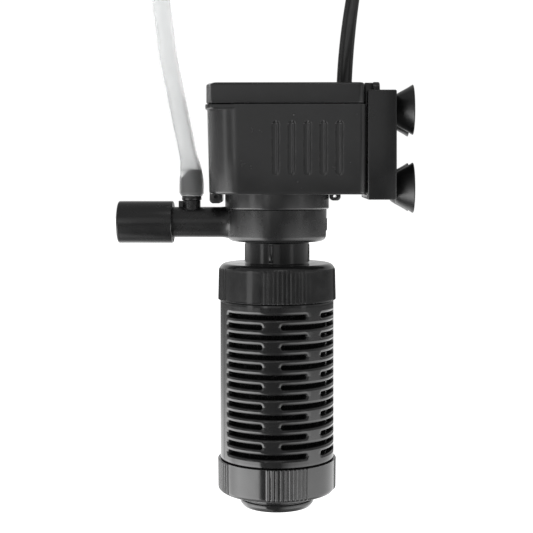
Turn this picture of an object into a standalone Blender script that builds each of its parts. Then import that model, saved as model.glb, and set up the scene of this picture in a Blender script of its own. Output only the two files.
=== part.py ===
"""Small submersible aquarium filter.

A potted motor head sits over an impeller chamber with a swivelling outlet and an air
nipple and tube. Below are a slotted canister with a sponge, and on the +X side a
slide-on bracket with four suction cups.

Frame: origin in the middle of the foot's underside, on the pump axis. +Z up, +X towards
the suction cups, -X along the outlet. In names, front is -Y and rear is +Y.
Dimensions are millimetres, angles degrees; MM turns lengths into Blender's metres.
"""

import math
from collections import namedtuple

import bmesh
import bpy
from mathutils import Matrix

MM = 0.001
GAP = 0.3  # clearance between neighbouring pieces
SIDES = ((-1, "front"), (1, "rear"))

# Levels along the pump axis
FOOT_HIGH = 5.9
CAP_FLOOR = FOOT_HIGH + GAP
CAP_RIM = 16.0
TUBE_LOW = CAP_RIM + GAP
TUBE_HIGH = 69.2
TOP_SKIRT = TUBE_HIGH + GAP
TOP_FACE = 81.4
NECK_HIGH = 89.5
DRUM_LOW = NECK_HIGH + GAP
COLLAR_LOW = 100.6
DRUM_SEAM = COLLAR_LOW - GAP
CHAMBER_HIGH = 102.6
COLLAR_CEILING = 104.6
MOTOR_LOW = 105.2
MOTOR_HIGH = 134.6
LID_LOW = MOTOR_HIGH + GAP
LID_HIGH = 141.6
LINE_END = 177.0  # where the cord and the air tube are cut

# Shared radii
COLLAR_BORE_R = 16.4
WELL_R = 8.3

# Motor box
BOX_X_MIN, BOX_X_MAX, BOX_HALF_Y = -23.3, 28.5, 20.0
WALL = 1.8
BOX_CORNER_R = 11.0  # corners on the -X side
ROOM_CORNER_R = BOX_CORNER_R - WALL
ROOM_BACK_CORNER_R = 1.0  # corners on the +X side

# T rail on the motor box
RAIL_NECK_HALF_Y = 14.0
RAIL_HALF_Y = 16.8
RAIL_X_MIN = 31.6

# Coils and their leads
COIL_X_MIN, COIL_X_MAX = 10.3, 20.7
LEAD_X = (COIL_X_MIN + COIL_X_MAX) / 2
LEAD_Y = 10.4
CORD_X = 22.75  # where the cord leaves the lid

# Outlet and air nipple
PIPE_R = 4.8
PIPE_Z = 95.5
NIPPLE_X = -29.0

Finish = namedtuple("Finish", "colour roughness metallic", defaults=(0.0,))

HOUSING = Finish(colour=(0.021, 0.021, 0.022), roughness=0.46)
GLOSSY = Finish(colour=(0.024, 0.024, 0.025), roughness=0.26)
RUBBER = Finish(colour=(0.018, 0.018, 0.018), roughness=0.6)
FOAM = Finish(colour=(0.02, 0.02, 0.022), roughness=0.95)
NYLON = Finish(colour=(0.75, 0.75, 0.7), roughness=0.5)
COPPER = Finish(colour=(0.72, 0.3, 0.14), roughness=0.35, metallic=1.0)
STEEL = Finish(colour=(0.45, 0.45, 0.46), roughness=0.4, metallic=1.0)
RESIN = Finish(colour=(0.03, 0.03, 0.03), roughness=0.3)
LEADS = {
    "front": Finish(colour=(0.5, 0.03, 0.02), roughness=0.5),
    "rear": Finish(colour=(0.02, 0.05, 0.4), roughness=0.5),
}
CORD = Finish(colour=(0.012, 0.012, 0.012), roughness=0.45)
SHAFT = Finish(colour=(0.85, 0.84, 0.8), roughness=0.25)
MAGNET = Finish(colour=(0.06, 0.06, 0.065), roughness=0.5)
IMPELLER = Finish(colour=(0.8, 0.8, 0.78), roughness=0.45)
AIR_TUBE = Finish(colour=(0.85, 0.86, 0.86), roughness=0.3)

for old in list(bpy.data.objects):
    bpy.data.objects.remove(old, do_unlink=True)

PARTS = bpy.data.collections.new("internal_power_filter")
CUTTERS = bpy.data.collections.new("cutters")
bpy.context.scene.collection.children.link(PARTS)
bpy.context.scene.collection.children.link(CUTTERS)


# ---------------------------------------------------------------- building tools
def material(name, finish):
    mat = bpy.data.materials.new(name)
    mat.use_nodes = True
    shader = mat.node_tree.nodes["Principled BSDF"]
    shader.inputs["Base Color"].default_value = (*finish.colour, 1.0)
    shader.inputs["Roughness"].default_value = finish.roughness
    shader.inputs["Metallic"].default_value = finish.metallic
    return mat


def add(name, mesh, finish=None):
    """A part with its own material or, without a finish, a hidden boolean helper."""
    obj = bpy.data.objects.new(name, mesh)
    if finish:
        PARTS.objects.link(obj)
        mesh.materials.append(material(name, finish))
    else:
        CUTTERS.objects.link(obj)
        obj.hide_render = True
        obj.display_type = "WIRE"
    return obj


# Where a turned profile's own axis points
AXES = {
    "Z": Matrix.Identity(4),
    "X": Matrix(((0, 0, 1, 0), (0, 1, 0, 0), (-1, 0, 0, 0), (0, 0, 0, 1))),
    "-X": Matrix(((0, 0, -1, 0), (0, 1, 0, 0), (1, 0, 0, 0), (0, 0, 0, 1))),
}
# Which world plane a flat outline lies in
PLANES = {
    "XY": Matrix.Identity(4),
    "YZ": Matrix(((0, 0, 1, 0), (1, 0, 0, 0), (0, 1, 0, 0), (0, 0, 0, 1))),
    "XZ": Matrix(((1, 0, 0, 0), (0, 0, -1, 0), (0, 1, 0, 0), (0, 0, 0, 1))),
}


def turned(name, profile, finish=None, steps=28, axis="Z", at=(0, 0, 0)):
    """(radius, height) points turned about an axis.

    A profile that starts on the axis also ends there; any other is closed into a loop.
    """
    points = [(radius * MM, 0, height * MM) for radius, height in profile]
    edges = [(i, i + 1) for i in range(len(points) - 1)]
    if profile[0][0] > 0:
        edges.append((len(points) - 1, 0))
    mesh = bpy.data.meshes.new(name)
    mesh.from_pydata(points, edges, [])
    obj = add(name, mesh, finish)
    turn = obj.modifiers.new("Turn", "SCREW")
    turn.axis = "Z"
    turn.angle = 2 * math.pi
    turn.steps = turn.render_steps = steps
    turn.use_merge_vertices = True
    turn.merge_threshold = 0.000001
    obj.matrix_world = Matrix.Translation([value * MM for value in at]) @ AXES[axis]
    return obj


def cylinder(name, radius, low, high, finish=None, **options):
    profile = [(0, high), (radius, high), (radius, low), (0, low)]
    return turned(name, profile, finish, **options)


def ring(name, inner, outer, low, high, finish, **options):
    """A ring of rectangular section."""
    profile = [(outer, high), (outer, low), (inner, low), (inner, high)]
    return turned(name, profile, finish, **options)


def box(name, low, high, finish=None):
    mesh = bpy.data.meshes.new(name)
    bm = bmesh.new()
    bmesh.ops.create_cube(bm, size=1)
    bmesh.ops.scale(bm, vec=[(b - a) * MM for a, b in zip(low, high)], verts=bm.verts)
    bm.to_mesh(mesh)
    bm.free()
    obj = add(name, mesh, finish)
    obj.location = [(a + b) / 2 * MM for a, b in zip(low, high)]
    return obj


def curve_mesh(name, curve):
    """The curve's evaluated surface as a welded mesh; the curve is removed."""
    guide = bpy.data.objects.new(name + "_guide", curve)
    CUTTERS.objects.link(guide)
    bpy.context.view_layer.update()
    graph = bpy.context.evaluated_depsgraph_get()
    mesh = bpy.data.meshes.new_from_object(guide.evaluated_get(graph))
    mesh.name = name
    bm = bmesh.new()
    bm.from_mesh(mesh)
    bmesh.ops.remove_doubles(bm, verts=bm.verts, dist=0.000001)
    bmesh.ops.recalc_face_normals(bm, faces=bm.faces)
    bm.to_mesh(mesh)
    bm.free()
    bpy.data.objects.remove(guide, do_unlink=True)
    bpy.data.curves.remove(curve)
    return mesh


def prism(name, outlines, start, end, finish=None, plane="XY"):
    """Flat outlines extruded across their plane from start to end."""
    curve = bpy.data.curves.new(name + "_outline", "CURVE")
    curve.dimensions = "2D"
    curve.fill_mode = "BOTH"
    curve.extrude = (end - start) / 2 * MM
    for outline in outlines:
        spline = curve.splines.new("POLY")
        spline.points.add(len(outline) - 1)
        for point, (across, up) in zip(spline.points, outline):
            point.co = (across * MM, up * MM, 0, 1)
        spline.use_cyclic_u = True
    obj = add(name, curve_mesh(name, curve), finish)
    middle = (start + end) / 2 * MM
    shift = {"XY": (0, 0, middle), "YZ": (middle, 0, 0), "XZ": (0, middle, 0)}[plane]
    obj.matrix_world = Matrix.Translation(shift) @ PLANES[plane]
    return obj


def bar_mesh(name, path, radius, resolution, radii=None):
    """A round bar with filled ends; radii gives each point of the path its own radius."""
    curve = bpy.data.curves.new(name + "_path", "CURVE")
    curve.dimensions = "3D"
    curve.bevel_depth = radius * MM
    curve.bevel_resolution = resolution
    curve.use_fill_caps = True
    spline = curve.splines.new("POLY")
    spline.points.add(len(path) - 1)
    for i, (point, (x, y, z)) in enumerate(zip(spline.points, path)):
        point.co = (x * MM, y * MM, z * MM, 1)
        if radii:
            point.radius = radii[i] / radius
    return curve_mesh(name, curve)


def combine(obj, tools, operation, solver):
    for tool in tools:
        mod = obj.modifiers.new(operation.title(), "BOOLEAN")
        mod.operation = operation
        mod.solver = solver
        mod.object = tool


def join(obj, *tools, solver="EXACT"):
    combine(obj, tools, "UNION", solver)


def cut(obj, *tools, solver="EXACT"):
    combine(obj, tools, "DIFFERENCE", solver)


def bevel(obj, width, angle):
    mod = obj.modifiers.new("Edges", "BEVEL")
    mod.width = width * MM
    mod.segments = 2
    mod.limit_method = "ANGLE"
    mod.angle_limit = math.radians(angle)


# ---------------------------------------------------------------- outlines
def arc(x, y, radius, start, end, count):
    angles = [math.radians(start + (end - start) * i / count) for i in range(count + 1)]
    return [(x + radius * math.cos(a), y + radius * math.sin(a)) for a in angles]


def rounded(x_min, x_max, y_min, y_max, left, right, count=3):
    """A rectangle with radius left on its corners at x_min and right on those at x_max."""
    return (
        arc(x_min + left, y_min + left, left, 180, 270, count)
        + arc(x_max - right, y_min + right, right, 270, 360, count)
        + arc(x_max - right, y_max - right, right, 0, 90, count)
        + arc(x_min + left, y_max - left, left, 90, 180, count)
    )


def box_outline(inset, left, right, count, short=0.0):
    """The motor box's outline set inwards, and drawn back by short at its +X side."""
    half_y = BOX_HALF_Y - inset
    x_max = BOX_X_MAX - inset - short
    return rounded(BOX_X_MIN + inset, x_max, -half_y, half_y, left, right, count)


def obround(x, y, width, height, count):
    """A slot with round ends, taller than it is wide."""
    radius = width / 2
    straight = height / 2 - radius
    return (
        arc(x, y + straight, radius, 0, 180, count)
        + arc(x, y - straight, radius, 180, 360, count)
    )


def ring_sector(inner, outer, start, end, step=18.5):
    """Part of a ring between two angles, counted from -Y towards +X."""
    count = max(1, math.ceil((end - start) / step))
    return (
        arc(0, 0, outer, start - 90, end - 90, count)
        + arc(0, 0, inner, end - 90, start - 90, count)
    )


def tick(radius, angle, width, depth):
    """A small rectangle across a circle's rim at an angle counted from -Y towards +X."""
    turn = math.radians(angle - 90)
    cosine, sine = math.cos(turn), math.sin(turn)
    half = width / 2
    near, far = radius - depth, radius + depth
    corners = ((near, -half), (far, -half), (far, half), (near, half))
    return [(x * cosine - y * sine, x * sine + y * cosine) for x, y in corners]


# ---------------------------------------------------------------- motor housing
COLLAR_R = 17.5
WELL_BORE_R = 6.9
RIB_COUNT = 5
RIB_PITCH = 5.15
RIB_WIDTH = 2.4
RIB_LOW, RIB_HIGH = 111.6, 129.0
GROOVE_WIDTH = 0.8


def rib_row(name, side, width, shorter, outer, inner, count):
    """Upright obrounds from x = 0 towards +X, between two distances from the XZ plane."""
    middle = (RIB_LOW + RIB_HIGH) / 2
    height = RIB_HIGH - RIB_LOW - shorter
    outlines = [obround(RIB_PITCH * i, middle, width, height, count) for i in range(RIB_COUNT)]
    start, end = sorted((side * outer, side * inner))
    return prism(name, outlines, start, end, plane="XZ")


def motor_housing():
    housing = prism(
        "motor_housing", [box_outline(0, BOX_CORNER_R, 2.0, 6)], MOTOR_LOW, MOTOR_HIGH, HOUSING
    )
    collar = [(0, 106), (COLLAR_R, 106), (COLLAR_R, COLLAR_LOW + 0.4),
              (COLLAR_R - 0.4, COLLAR_LOW), (0, COLLAR_LOW)]
    rail = rounded(-RAIL_HALF_Y, RAIL_HALF_Y, MOTOR_LOW, 141.5, 1.5, 1.5)
    join(
        housing,
        prism("housing_flange", [box_outline(0, 3.0, 2.0, 4)], 132.7, MOTOR_HIGH),
        turned("housing_collar", collar),
        # T rail on the +X face: the bracket's lips run behind its flange
        box("rail_neck", (28.4, -RAIL_NECK_HALF_Y, 105.6), (31.9, RAIL_NECK_HALF_Y, 140.9)),
        prism("rail_flange", [rail], RAIL_X_MIN, 33.4, plane="YZ"),
        # Two loops under the box
        box("lug_left", (-22.6, -5, 102.4), (-18.6, 5, 106)),
        box("lug_right", (17.8, -5, 102.9), (21.4, 5, 106)),
    )
    for side, word in SIDES:
        join(housing, rib_row(
            "ribs_" + word, side, RIB_WIDTH, 0, BOX_HALF_Y + 0.6, BOX_HALF_Y - 1.0, 3
        ))
    room = box_outline(WALL, ROOM_CORNER_R, ROOM_BACK_CORNER_R, 6)
    cut(housing, prism("motor_room", [room], 107.2, 140))
    # The rotor well stands in the room and opens downwards
    well = [(0, 130.5), (WELL_R - 0.6, 130.5), (WELL_R, 129.9), (WELL_R, 106), (0, 106)]
    join(housing, turned("rotor_well", well, steps=24))
    bore = [(0, 129.2), (3.5, 129.2), (3.5, 126.9),
            (WELL_BORE_R, 126.9), (WELL_BORE_R, 103), (0, 103)]
    cut(
        housing,
        turned("well_bore", bore, steps=24),
        cylinder("collar_bore", COLLAR_BORE_R, 99, COLLAR_CEILING),
    )
    for side, word in SIDES:
        cut(housing, rib_row(
            "rib_grooves_" + word, side, GROOVE_WIDTH, 1.6, BOX_HALF_Y + 2, BOX_HALF_Y + 0.15, 2
        ))
    cut(
        housing,
        box("lug_left_hole", (-21.5, -8, 103.3), (-19.7, 8, 104.5)),
        box("lug_right_hole", (18.8, -8, 103.6), (20.4, 8, 104.5)),
    )


def motor_lid():
    outline = box_outline(0, 3.0, 2.0, 4, short=0.4)
    lid = prism("motor_lid", [outline], LID_LOW, LID_HIGH, HOUSING)
    bevel(lid, width=0.7, angle=60)
    cut(
        lid,
        prism("lid_room", [box_outline(WALL, 1.5, 1.0, 3, short=0.3)], 130, 139.6),
        prism("cord_hole", [rounded(18.8, 26.3, -2.6, 2.6, 1.2, 1.2)], 138, 143),
    )


def cord_grommet():
    outline = rounded(19.1, 26.0, -2.3, 2.3, 1.0, 1.0)
    flange = rounded(18.2, 26.1, -3.5, 3.5, 1.4, 1.4)
    hole = rounded(19.8, 25.6, -1.6, 1.6, 1.2, 1.2)
    grommet = prism("cord_grommet", [outline], 137.6, 141.4, RUBBER)
    join(grommet, prism("grommet_flange", [flange], 137.2, 139.2))
    cut(grommet, prism("grommet_hole", [hole], 135, 143))


def potting_resin():
    outline = box_outline(WALL + GAP, ROOM_CORNER_R - GAP, ROOM_BACK_CORNER_R - GAP, 5)
    resin = prism("potting_resin", [outline], 129.2, 132.4, RESIN)
    cut(resin, cylinder("resin_well_hole", WELL_R + GAP, 127, 135, steps=24))
    for side, _ in SIDES:
        name = "resin_lead_hole_%d" % (side + 1)
        cut(resin, cylinder(name, 1.1, 127, 135, steps=12, at=(LEAD_X, side * LEAD_Y, 0)))


motor_housing()
motor_lid()
cord_grommet()
potting_resin()

# ---------------------------------------------------------------- magnet and coils
LEG_Y_MIN, LEG_Y_MAX = 7.25, 13.5
LEG_MIDDLE = (LEG_Y_MIN + LEG_Y_MAX) / 2
LEG_HALF_Y = (LEG_Y_MAX - LEG_Y_MIN) / 2
CORE_LOW, CORE_HIGH = 111.0, 125.0
CORE_MIDDLE = (CORE_LOW + CORE_HIGH) / 2
CORE_HALF_Z = (CORE_HIGH - CORE_LOW) / 2
BOBBIN_WALL = 1.2  # outer face of the bobbin's sleeve, from the core
BOBBIN_FLANGE = 1.1
FLANGE_HALF_Y, FLANGE_HALF_Z = 7.1, 10.5


def stator_core():
    """Two legs along X, bridged at +X, with poles reaching in around the rotor well."""
    outline = [
        (-9.5, -LEG_Y_MAX), (26.2, -LEG_Y_MAX), (26.2, LEG_Y_MAX), (-9.5, LEG_Y_MAX),
        (-9.5, 4.0), (9.0, 4.0), (9.0, LEG_Y_MIN), (21.0, LEG_Y_MIN),
        (21.0, -LEG_Y_MIN), (9.0, -LEG_Y_MIN), (9.0, -4.0), (-9.5, -4.0),
    ]
    core = prism("stator_core", [outline], CORE_LOW, CORE_HIGH, STEEL)
    cut(core, cylinder("pole_bore", WELL_R + 0.5, 108, 128, steps=24))


def around_leg(middle, half_y, half_z, radius, count):
    """A rounded YZ outline centred on a leg of the core."""
    return rounded(
        middle - half_y, middle + half_y, CORE_MIDDLE - half_z, CORE_MIDDLE + half_z,
        radius, radius, count,
    )


def leg_hole(name, middle, clearance):
    half = LEG_HALF_Y + clearance
    low = (8, middle - half, CORE_LOW - clearance)
    return box(name, low, (23, middle + half, CORE_HIGH + clearance))


def coil(side, word):
    middle = side * LEG_MIDDLE
    sleeve = around_leg(middle, LEG_HALF_Y + BOBBIN_WALL, CORE_HALF_Z + BOBBIN_WALL, 0.6, 2)
    bobbin = prism(
        "coil_bobbin_" + word, [sleeve], COIL_X_MIN, COIL_X_MAX, NYLON, plane="YZ"
    )
    flange = around_leg(middle, FLANGE_HALF_Y, FLANGE_HALF_Z, 1.5, 3)
    for i, start in enumerate((COIL_X_MIN, COIL_X_MAX - BOBBIN_FLANGE)):
        name = "bobbin_flange_%s_%d" % (word, i)
        join(bobbin, prism(name, [flange], start, start + BOBBIN_FLANGE, plane="YZ"))
    cut(bobbin, leg_hole("bobbin_bore_" + word, middle, GAP))

    outline = around_leg(middle, FLANGE_HALF_Y - GAP, FLANGE_HALF_Z - GAP, 2.2, 4)
    inset = BOBBIN_FLANGE + GAP
    winding = prism(
        "coil_winding_" + word, [outline], COIL_X_MIN + inset, COIL_X_MAX - inset, COPPER,
        plane="YZ",
    )
    cut(winding, leg_hole("winding_bore_" + word, middle, BOBBIN_WALL + GAP))


# From the coil up through the resin to the cord: x, distance from the XZ plane, z
LEAD_PATH = (
    (LEAD_X, LEAD_Y, 128.7), (LEAD_X, LEAD_Y, 133.6), (15.8, 10.0, 134.6), (17.0, 8.6, 135.4),
    (19.5, 4.6, 135.7), (21.8, 1.9, 135.9), (22.2, 1.4, 136.2), (CORD_X, 1.0, 136.9),
)


def lead_wire(side, word):
    name = "lead_wire_" + word
    path = [(x, side * y, z) for x, y, z in LEAD_PATH]
    add(name, bar_mesh(name, path, radius=0.7, resolution=1), LEADS[word])


stator_core()
for side, word in SIDES:
    coil(side, word)
    lead_wire(side, word)

# ---------------------------------------------------------------- power cord
CORD_TWIST = 40.0
CORD_LEVELS = (137.3, 141.0, 144.5, 149.0, 154.0, 159.0, 164.0, 171.0, LINE_END)
CORD_BEND_LOW = 141.0
CORD_BEND_SPAN = 30.0  # the twist is complete this far above the bend's start
CORE_OFFSET, CORE_R = 1.27, 1.33
CORE_SWEEP = 236.0  # the part of each core's circle outside the other


def cord_mesh():
    """Two round cores side by side, leaning towards +X and turning as they rise."""
    section = []
    for x, start in ((CORE_OFFSET, -118.0), (-CORE_OFFSET, 62.0)):
        section += arc(x, 0, CORE_R, start, start + CORE_SWEEP, 7)
    bm = bmesh.new()
    rows = []
    for z in CORD_LEVELS:
        rise = max(0.0, (z - CORD_BEND_LOW) / CORD_BEND_SPAN)
        centre = CORD_X + 1.1 * rise + 1.8 * rise * rise
        twist = math.radians(CORD_TWIST * min(1.0, rise))
        cosine, sine = math.cos(twist), math.sin(twist)
        rows.append([
            bm.verts.new((
                (centre + x * cosine - y * sine) * MM, (x * sine + y * cosine) * MM, z * MM
            ))
            for x, y in section
        ])
    count = len(section)
    for low, high in zip(rows, rows[1:]):
        for i in range(count):
            j = (i + 1) % count
            bm.faces.new((low[i], low[j], high[j], high[i]))
    bm.faces.new(list(reversed(rows[0])))
    bm.faces.new(rows[-1])
    bmesh.ops.recalc_face_normals(bm, faces=bm.faces)
    mesh = bpy.data.meshes.new("power_cord")
    bm.to_mesh(mesh)
    bm.free()
    return mesh


add("power_cord", cord_mesh(), CORD)

# ---------------------------------------------------------------- rotor
BUSH_BORE_R = 1.15
ROTOR_BORE_R = 1.3
VANE_REACH = 12.4
HUB_R = 4.4
# Profiles are (radius, height)
SHAFT_PROFILE = [
    (0, 128.8), (0.8, 128.8), (1.0, 128.6), (1.0, 89.1), (0.8, 88.9), (0, 88.9),
]
MAGNET_PROFILE = [
    (ROTOR_BORE_R, 126.3), (5.6, 126.3), (6.0, 125.9),
    (6.0, 106.1), (5.6, 105.7), (ROTOR_BORE_R, 105.7),
]
# Hub with a disc above the vanes
IMPELLER_PROFILE = [
    (ROTOR_BORE_R, 105.4), (HUB_R, 105.4), (HUB_R, 101.8), (VANE_REACH, 101.8),
    (VANE_REACH, 100.8), (HUB_R, 100.8), (HUB_R, 92.8), (ROTOR_BORE_R, 92.8),
]


def impeller():
    body = turned("impeller", IMPELLER_PROFILE, IMPELLER, steps=32)
    for i in range(3):
        vane = box("vane_pair_%d" % i, (-VANE_REACH, -0.6, 93.4), (VANE_REACH, 0.6, 101.3))
        vane.rotation_euler[2] = math.radians(60 * i)
        join(body, vane)
    cut(body, cylinder("impeller_bore", ROTOR_BORE_R, 90, 108, steps=16))


turned("rotor_shaft", SHAFT_PROFILE, SHAFT, steps=16)
ring("upper_bush", BUSH_BORE_R, 3.2, 127.2, 128.9, RUBBER, steps=20)
turned("rotor_magnet", MAGNET_PROFILE, MAGNET, steps=32)
impeller()

# ---------------------------------------------------------------- impeller chamber
DRUM_R = 16.7
CHAMBER_R = 14.4
PLUG_R = COLLAR_BORE_R - 0.4  # the part that enters the housing's collar
INTAKE_R = 8.8
INTAKE_BORE_R = 7.4
PIPE_BORE_R = 3.6
CHAMBER_PROFILE = [
    (0, CHAMBER_HIGH), (PLUG_R, CHAMBER_HIGH), (PLUG_R, DRUM_SEAM), (DRUM_R, DRUM_SEAM),
    (DRUM_R, DRUM_LOW + 1.8), (DRUM_R - 0.5, DRUM_LOW + 0.5), (DRUM_R - 1.8, DRUM_LOW),
    (INTAKE_R, DRUM_LOW), (INTAKE_R, 80.9), (INTAKE_R - 0.5, 80.3), (0, 80.3),
]


def spider_arm(index):
    arm = box("spider_arm_%d" % index, (2.6, -0.6, 87.0), (8.1, 0.6, 90.6))
    spin = Matrix.Rotation(math.radians(120 * index + 30), 4, "Z")
    arm.matrix_world = spin @ Matrix.Translation(arm.location)
    return arm


def pump_chamber_cover():
    chamber = turned("pump_chamber_cover", CHAMBER_PROFILE, HOUSING)
    pipe = [(0, 46.0), (PIPE_R - 0.4, 46.0), (PIPE_R, 45.6), (PIPE_R, 10.0), (0, 10.0)]
    along_outlet = {"axis": "-X", "at": (0, 0, PIPE_Z)}
    at_nipple = {"at": (NIPPLE_X, 0, 0)}
    join(
        chamber,
        turned("outlet_pipe", pipe, steps=20, **along_outlet),
        cylinder("nipple_boss", 3.0, 95.0, 103.0, steps=24, **at_nipple),
        box("boss_fin", (-33.5, -0.7, 97.5), (NIPPLE_X, 0.7, 102.7)),
        solver="MANIFOLD",
    )
    cut(
        chamber,
        cylinder("chamber_room", CHAMBER_R, 91.8, 105),
        cylinder("intake_bore", INTAKE_BORE_R, 78, 95, steps=24),
        cylinder("pipe_bore", PIPE_BORE_R, 12.0, 50.0, steps=24, **along_outlet),
        cylinder("nipple_bore", 2.2, 96.4, 106, steps=18, **at_nipple),
        solver="MANIFOLD",
    )
    # Three-armed spider that carries the lower bush in the intake
    join(
        chamber,
        cylinder("spider_hub", 3.4, 86.3, 91.9, steps=24),
        *[spider_arm(i) for i in range(3)],
        solver="MANIFOLD",
    )
    cut(chamber, cylinder("bush_seat", 2.4, 87.3, 93, steps=20), solver="MANIFOLD")


pump_chamber_cover()
ring("chamber_gasket", 14.6, COLLAR_BORE_R - GAP, CHAMBER_HIGH + GAP, COLLAR_CEILING - GAP, RUBBER)
turned(
    "lower_bush", [(BUSH_BORE_R, 91.7), (2.1, 91.7), (2.1, 87.6), (BUSH_BORE_R, 87.6)],
    RUBBER, steps=20,
)

# ---------------------------------------------------------------- nozzle, nipple, air tube
NOZZLE_R = 6.95
NOZZLE_BORE_R = PIPE_R + GAP
NOZZLE_NEAR, NOZZLE_FAR = 35.2, 53.9  # distances from the pump axis towards -X
NOZZLE_PROFILE = [
    (NOZZLE_R - 0.5, NOZZLE_FAR), (NOZZLE_R, NOZZLE_FAR - 0.5),
    (NOZZLE_R, NOZZLE_NEAR + 0.6), (NOZZLE_R - 0.6, NOZZLE_NEAR),
    (NOZZLE_BORE_R, NOZZLE_NEAR), (NOZZLE_BORE_R, NOZZLE_FAR),
]
# Barb at the top, flange at mid-height, stub in the boss, then the bore
NIPPLE_PROFILE = [
    (1.9, 113.0), (2.35, 110.6), (1.9, 110.4), (1.9, 108.6), (2.3, 108.2), (2.3, 105.6),
    (3.4, 105.6), (3.4, 103.3), (1.9, 103.3), (1.9, 99.8), (1.0, 99.8), (1.0, 113.0),
]
TUBE_OUTER_R, TUBE_INNER_R = 3.0, 2.0
# x, z, outer radius, inner radius: swollen over the nipple, then leaning towards -X
AIR_TUBE_STATIONS = (
    (NIPPLE_X, 106.0, 4.15, 2.9),
    (-29.05, 109.5, 4.1, 2.9),
    (-29.3, 113.4, 3.7, 2.7),
    (-30.2, 118.6, TUBE_OUTER_R, TUBE_INNER_R),
    (-32.5, 129.5, TUBE_OUTER_R, TUBE_INNER_R),
    (-34.7, 140.4, TUBE_OUTER_R, TUBE_INNER_R),
    (-36.9, 151.3, TUBE_OUTER_R, TUBE_INNER_R),
    (-38.2, 161.0, TUBE_OUTER_R, TUBE_INNER_R),
    (-39.5, 171.0, TUBE_OUTER_R, TUBE_INNER_R),
    (-40.2, LINE_END, TUBE_OUTER_R, TUBE_INNER_R),
)


def air_tube():
    path = [(x, 0, z) for x, z, _, _ in AIR_TUBE_STATIONS]
    outer = [station[2] for station in AIR_TUBE_STATIONS]
    inner = [station[3] for station in AIR_TUBE_STATIONS]
    tube = add("air_tube", bar_mesh("air_tube", path, TUBE_OUTER_R, 3, outer), AIR_TUBE)
    # The bore runs out past both ends
    longer = [(NIPPLE_X, 0, 104.0)] + path[1:-1] + [(-40.35, 0, LINE_END + 1.3)]
    cut(tube, add("tube_bore", bar_mesh("tube_bore", longer, TUBE_INNER_R, 3, inner)))


turned("outlet_nozzle", NOZZLE_PROFILE, HOUSING, axis="-X", at=(0, 0, PIPE_Z))
turned("air_nipple", NIPPLE_PROFILE, HOUSING, steps=16, at=(NIPPLE_X, 0, 0))
air_tube()

# ---------------------------------------------------------------- canister
CAP_R = 19.85
TUBE_R = 19.2
SPIGOT_R = 17.9
CAP_BORE_R = SPIGOT_R + GAP
TUBE_BORE_R = 16.9
SPIGOT_LOW, SPIGOT_HIGH = 10.0, 76.0
FOOT_R = 12.05
NECK_R = 10.9
NECK_BORE_R = 9.2
SLOT_HEIGHT = 1.5
SLOT_PITCH = 3.235
SLOT_TOP = 65.45
# Kind, start and end angles, first row, number of rows. The kinds take alternate rows,
# and every slot is repeated half a turn on.
SLOT_ROWS = (
    ("long", ((-59.0, 32.7), (51.1, 85.0)), 0, 8),
    ("short", ((-59.0, -13.8), (3.6, 85.0)), 1, 7),
)
KNURL_CENTRES = (11.0, 101.0, 191.0, 281.0)
KNURL_COUNT = 6
KNURL_STEP = 7.0
NECK_RIB_ANGLES = (-5, 85, 175, 265)

TOP_CAP_PROFILE = [
    (NECK_BORE_R, NECK_HIGH), (NECK_R, NECK_HIGH), (NECK_R, TOP_FACE), (17.8, TOP_FACE),
    (19.2, 80.8), (19.65, 79.6), (CAP_R, TOP_SKIRT + 0.4), (CAP_R - 0.3, TOP_SKIRT),
    (CAP_BORE_R, TOP_SKIRT), (CAP_BORE_R, 79.2), (NECK_R, 79.2), (NECK_R, 76.2),
    (NECK_BORE_R, 76.2),
]
BODY_PROFILE = [
    (TUBE_BORE_R, SPIGOT_HIGH), (SPIGOT_R, SPIGOT_HIGH), (SPIGOT_R, TUBE_HIGH),
    (TUBE_R, TUBE_HIGH), (TUBE_R, TUBE_LOW), (SPIGOT_R, TUBE_LOW),
    (SPIGOT_R, SPIGOT_LOW), (TUBE_BORE_R, SPIGOT_LOW),
]
SPONGE_PROFILE = [(5.5, 75.6), (16.2, 75.6), (16.5, 75.2), (16.5, 12.4), (16.2, 12.0), (5.5, 12.0)]
BOTTOM_CAP_PROFILE = [
    (CAP_BORE_R, CAP_RIM), (CAP_R - 0.3, CAP_RIM), (CAP_R, CAP_RIM - 0.4), (CAP_R - 0.15, 9.4),
    (19.1, 7.6), (17.6, 6.5), (16.2, CAP_FLOOR), (10.0, CAP_FLOOR), (10.0, 8.2),
    (CAP_BORE_R, 8.2),
]
PLUG_PROFILE = [
    (0, 11.4), (10.4, 11.4), (10.6, 11.2), (10.6, 10.3), (9.7, 10.3), (9.7, FOOT_HIGH),
    (FOOT_R, FOOT_HIGH), (FOOT_R, 4.6), (FOOT_R - 0.35, 4.3), (FOOT_R - 0.35, 1.9),
    (FOOT_R - 1.0, 0.6), (FOOT_R - 2.4, 0), (0, 0),
]


def knurl(name, low, high):
    """Four groups of small grooves round a cap's rim."""
    ticks = [
        tick(CAP_R, centre + (i - (KNURL_COUNT - 1) / 2) * KNURL_STEP, 0.8, 0.45)
        for centre in KNURL_CENTRES
        for i in range(KNURL_COUNT)
    ]
    return prism(name, ticks, low, high)


def canister_top_cap():
    cap = turned("canister_top_cap", TOP_CAP_PROFILE, GLOSSY)
    ribs = [tick(NECK_R, angle, 1.9, 0.6) for angle in NECK_RIB_ANGLES]
    join(cap, prism("neck_ribs", ribs, 81.0, 88.9))
    cut(cap, knurl("top_knurl", TOP_SKIRT + 1.0, 79.0))


def neck_strainer():
    """A disc with eight openings between its spokes."""
    disc = cylinder("neck_strainer", NECK_BORE_R - GAP, 77.5, 79.9, HOUSING, steps=24)
    openings = [ring_sector(2.2, 7.9, a + 5, a + 40, 20) for a in range(0, 360, 45)]
    cut(disc, prism("strainer_openings", openings, 76, 82))


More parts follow.
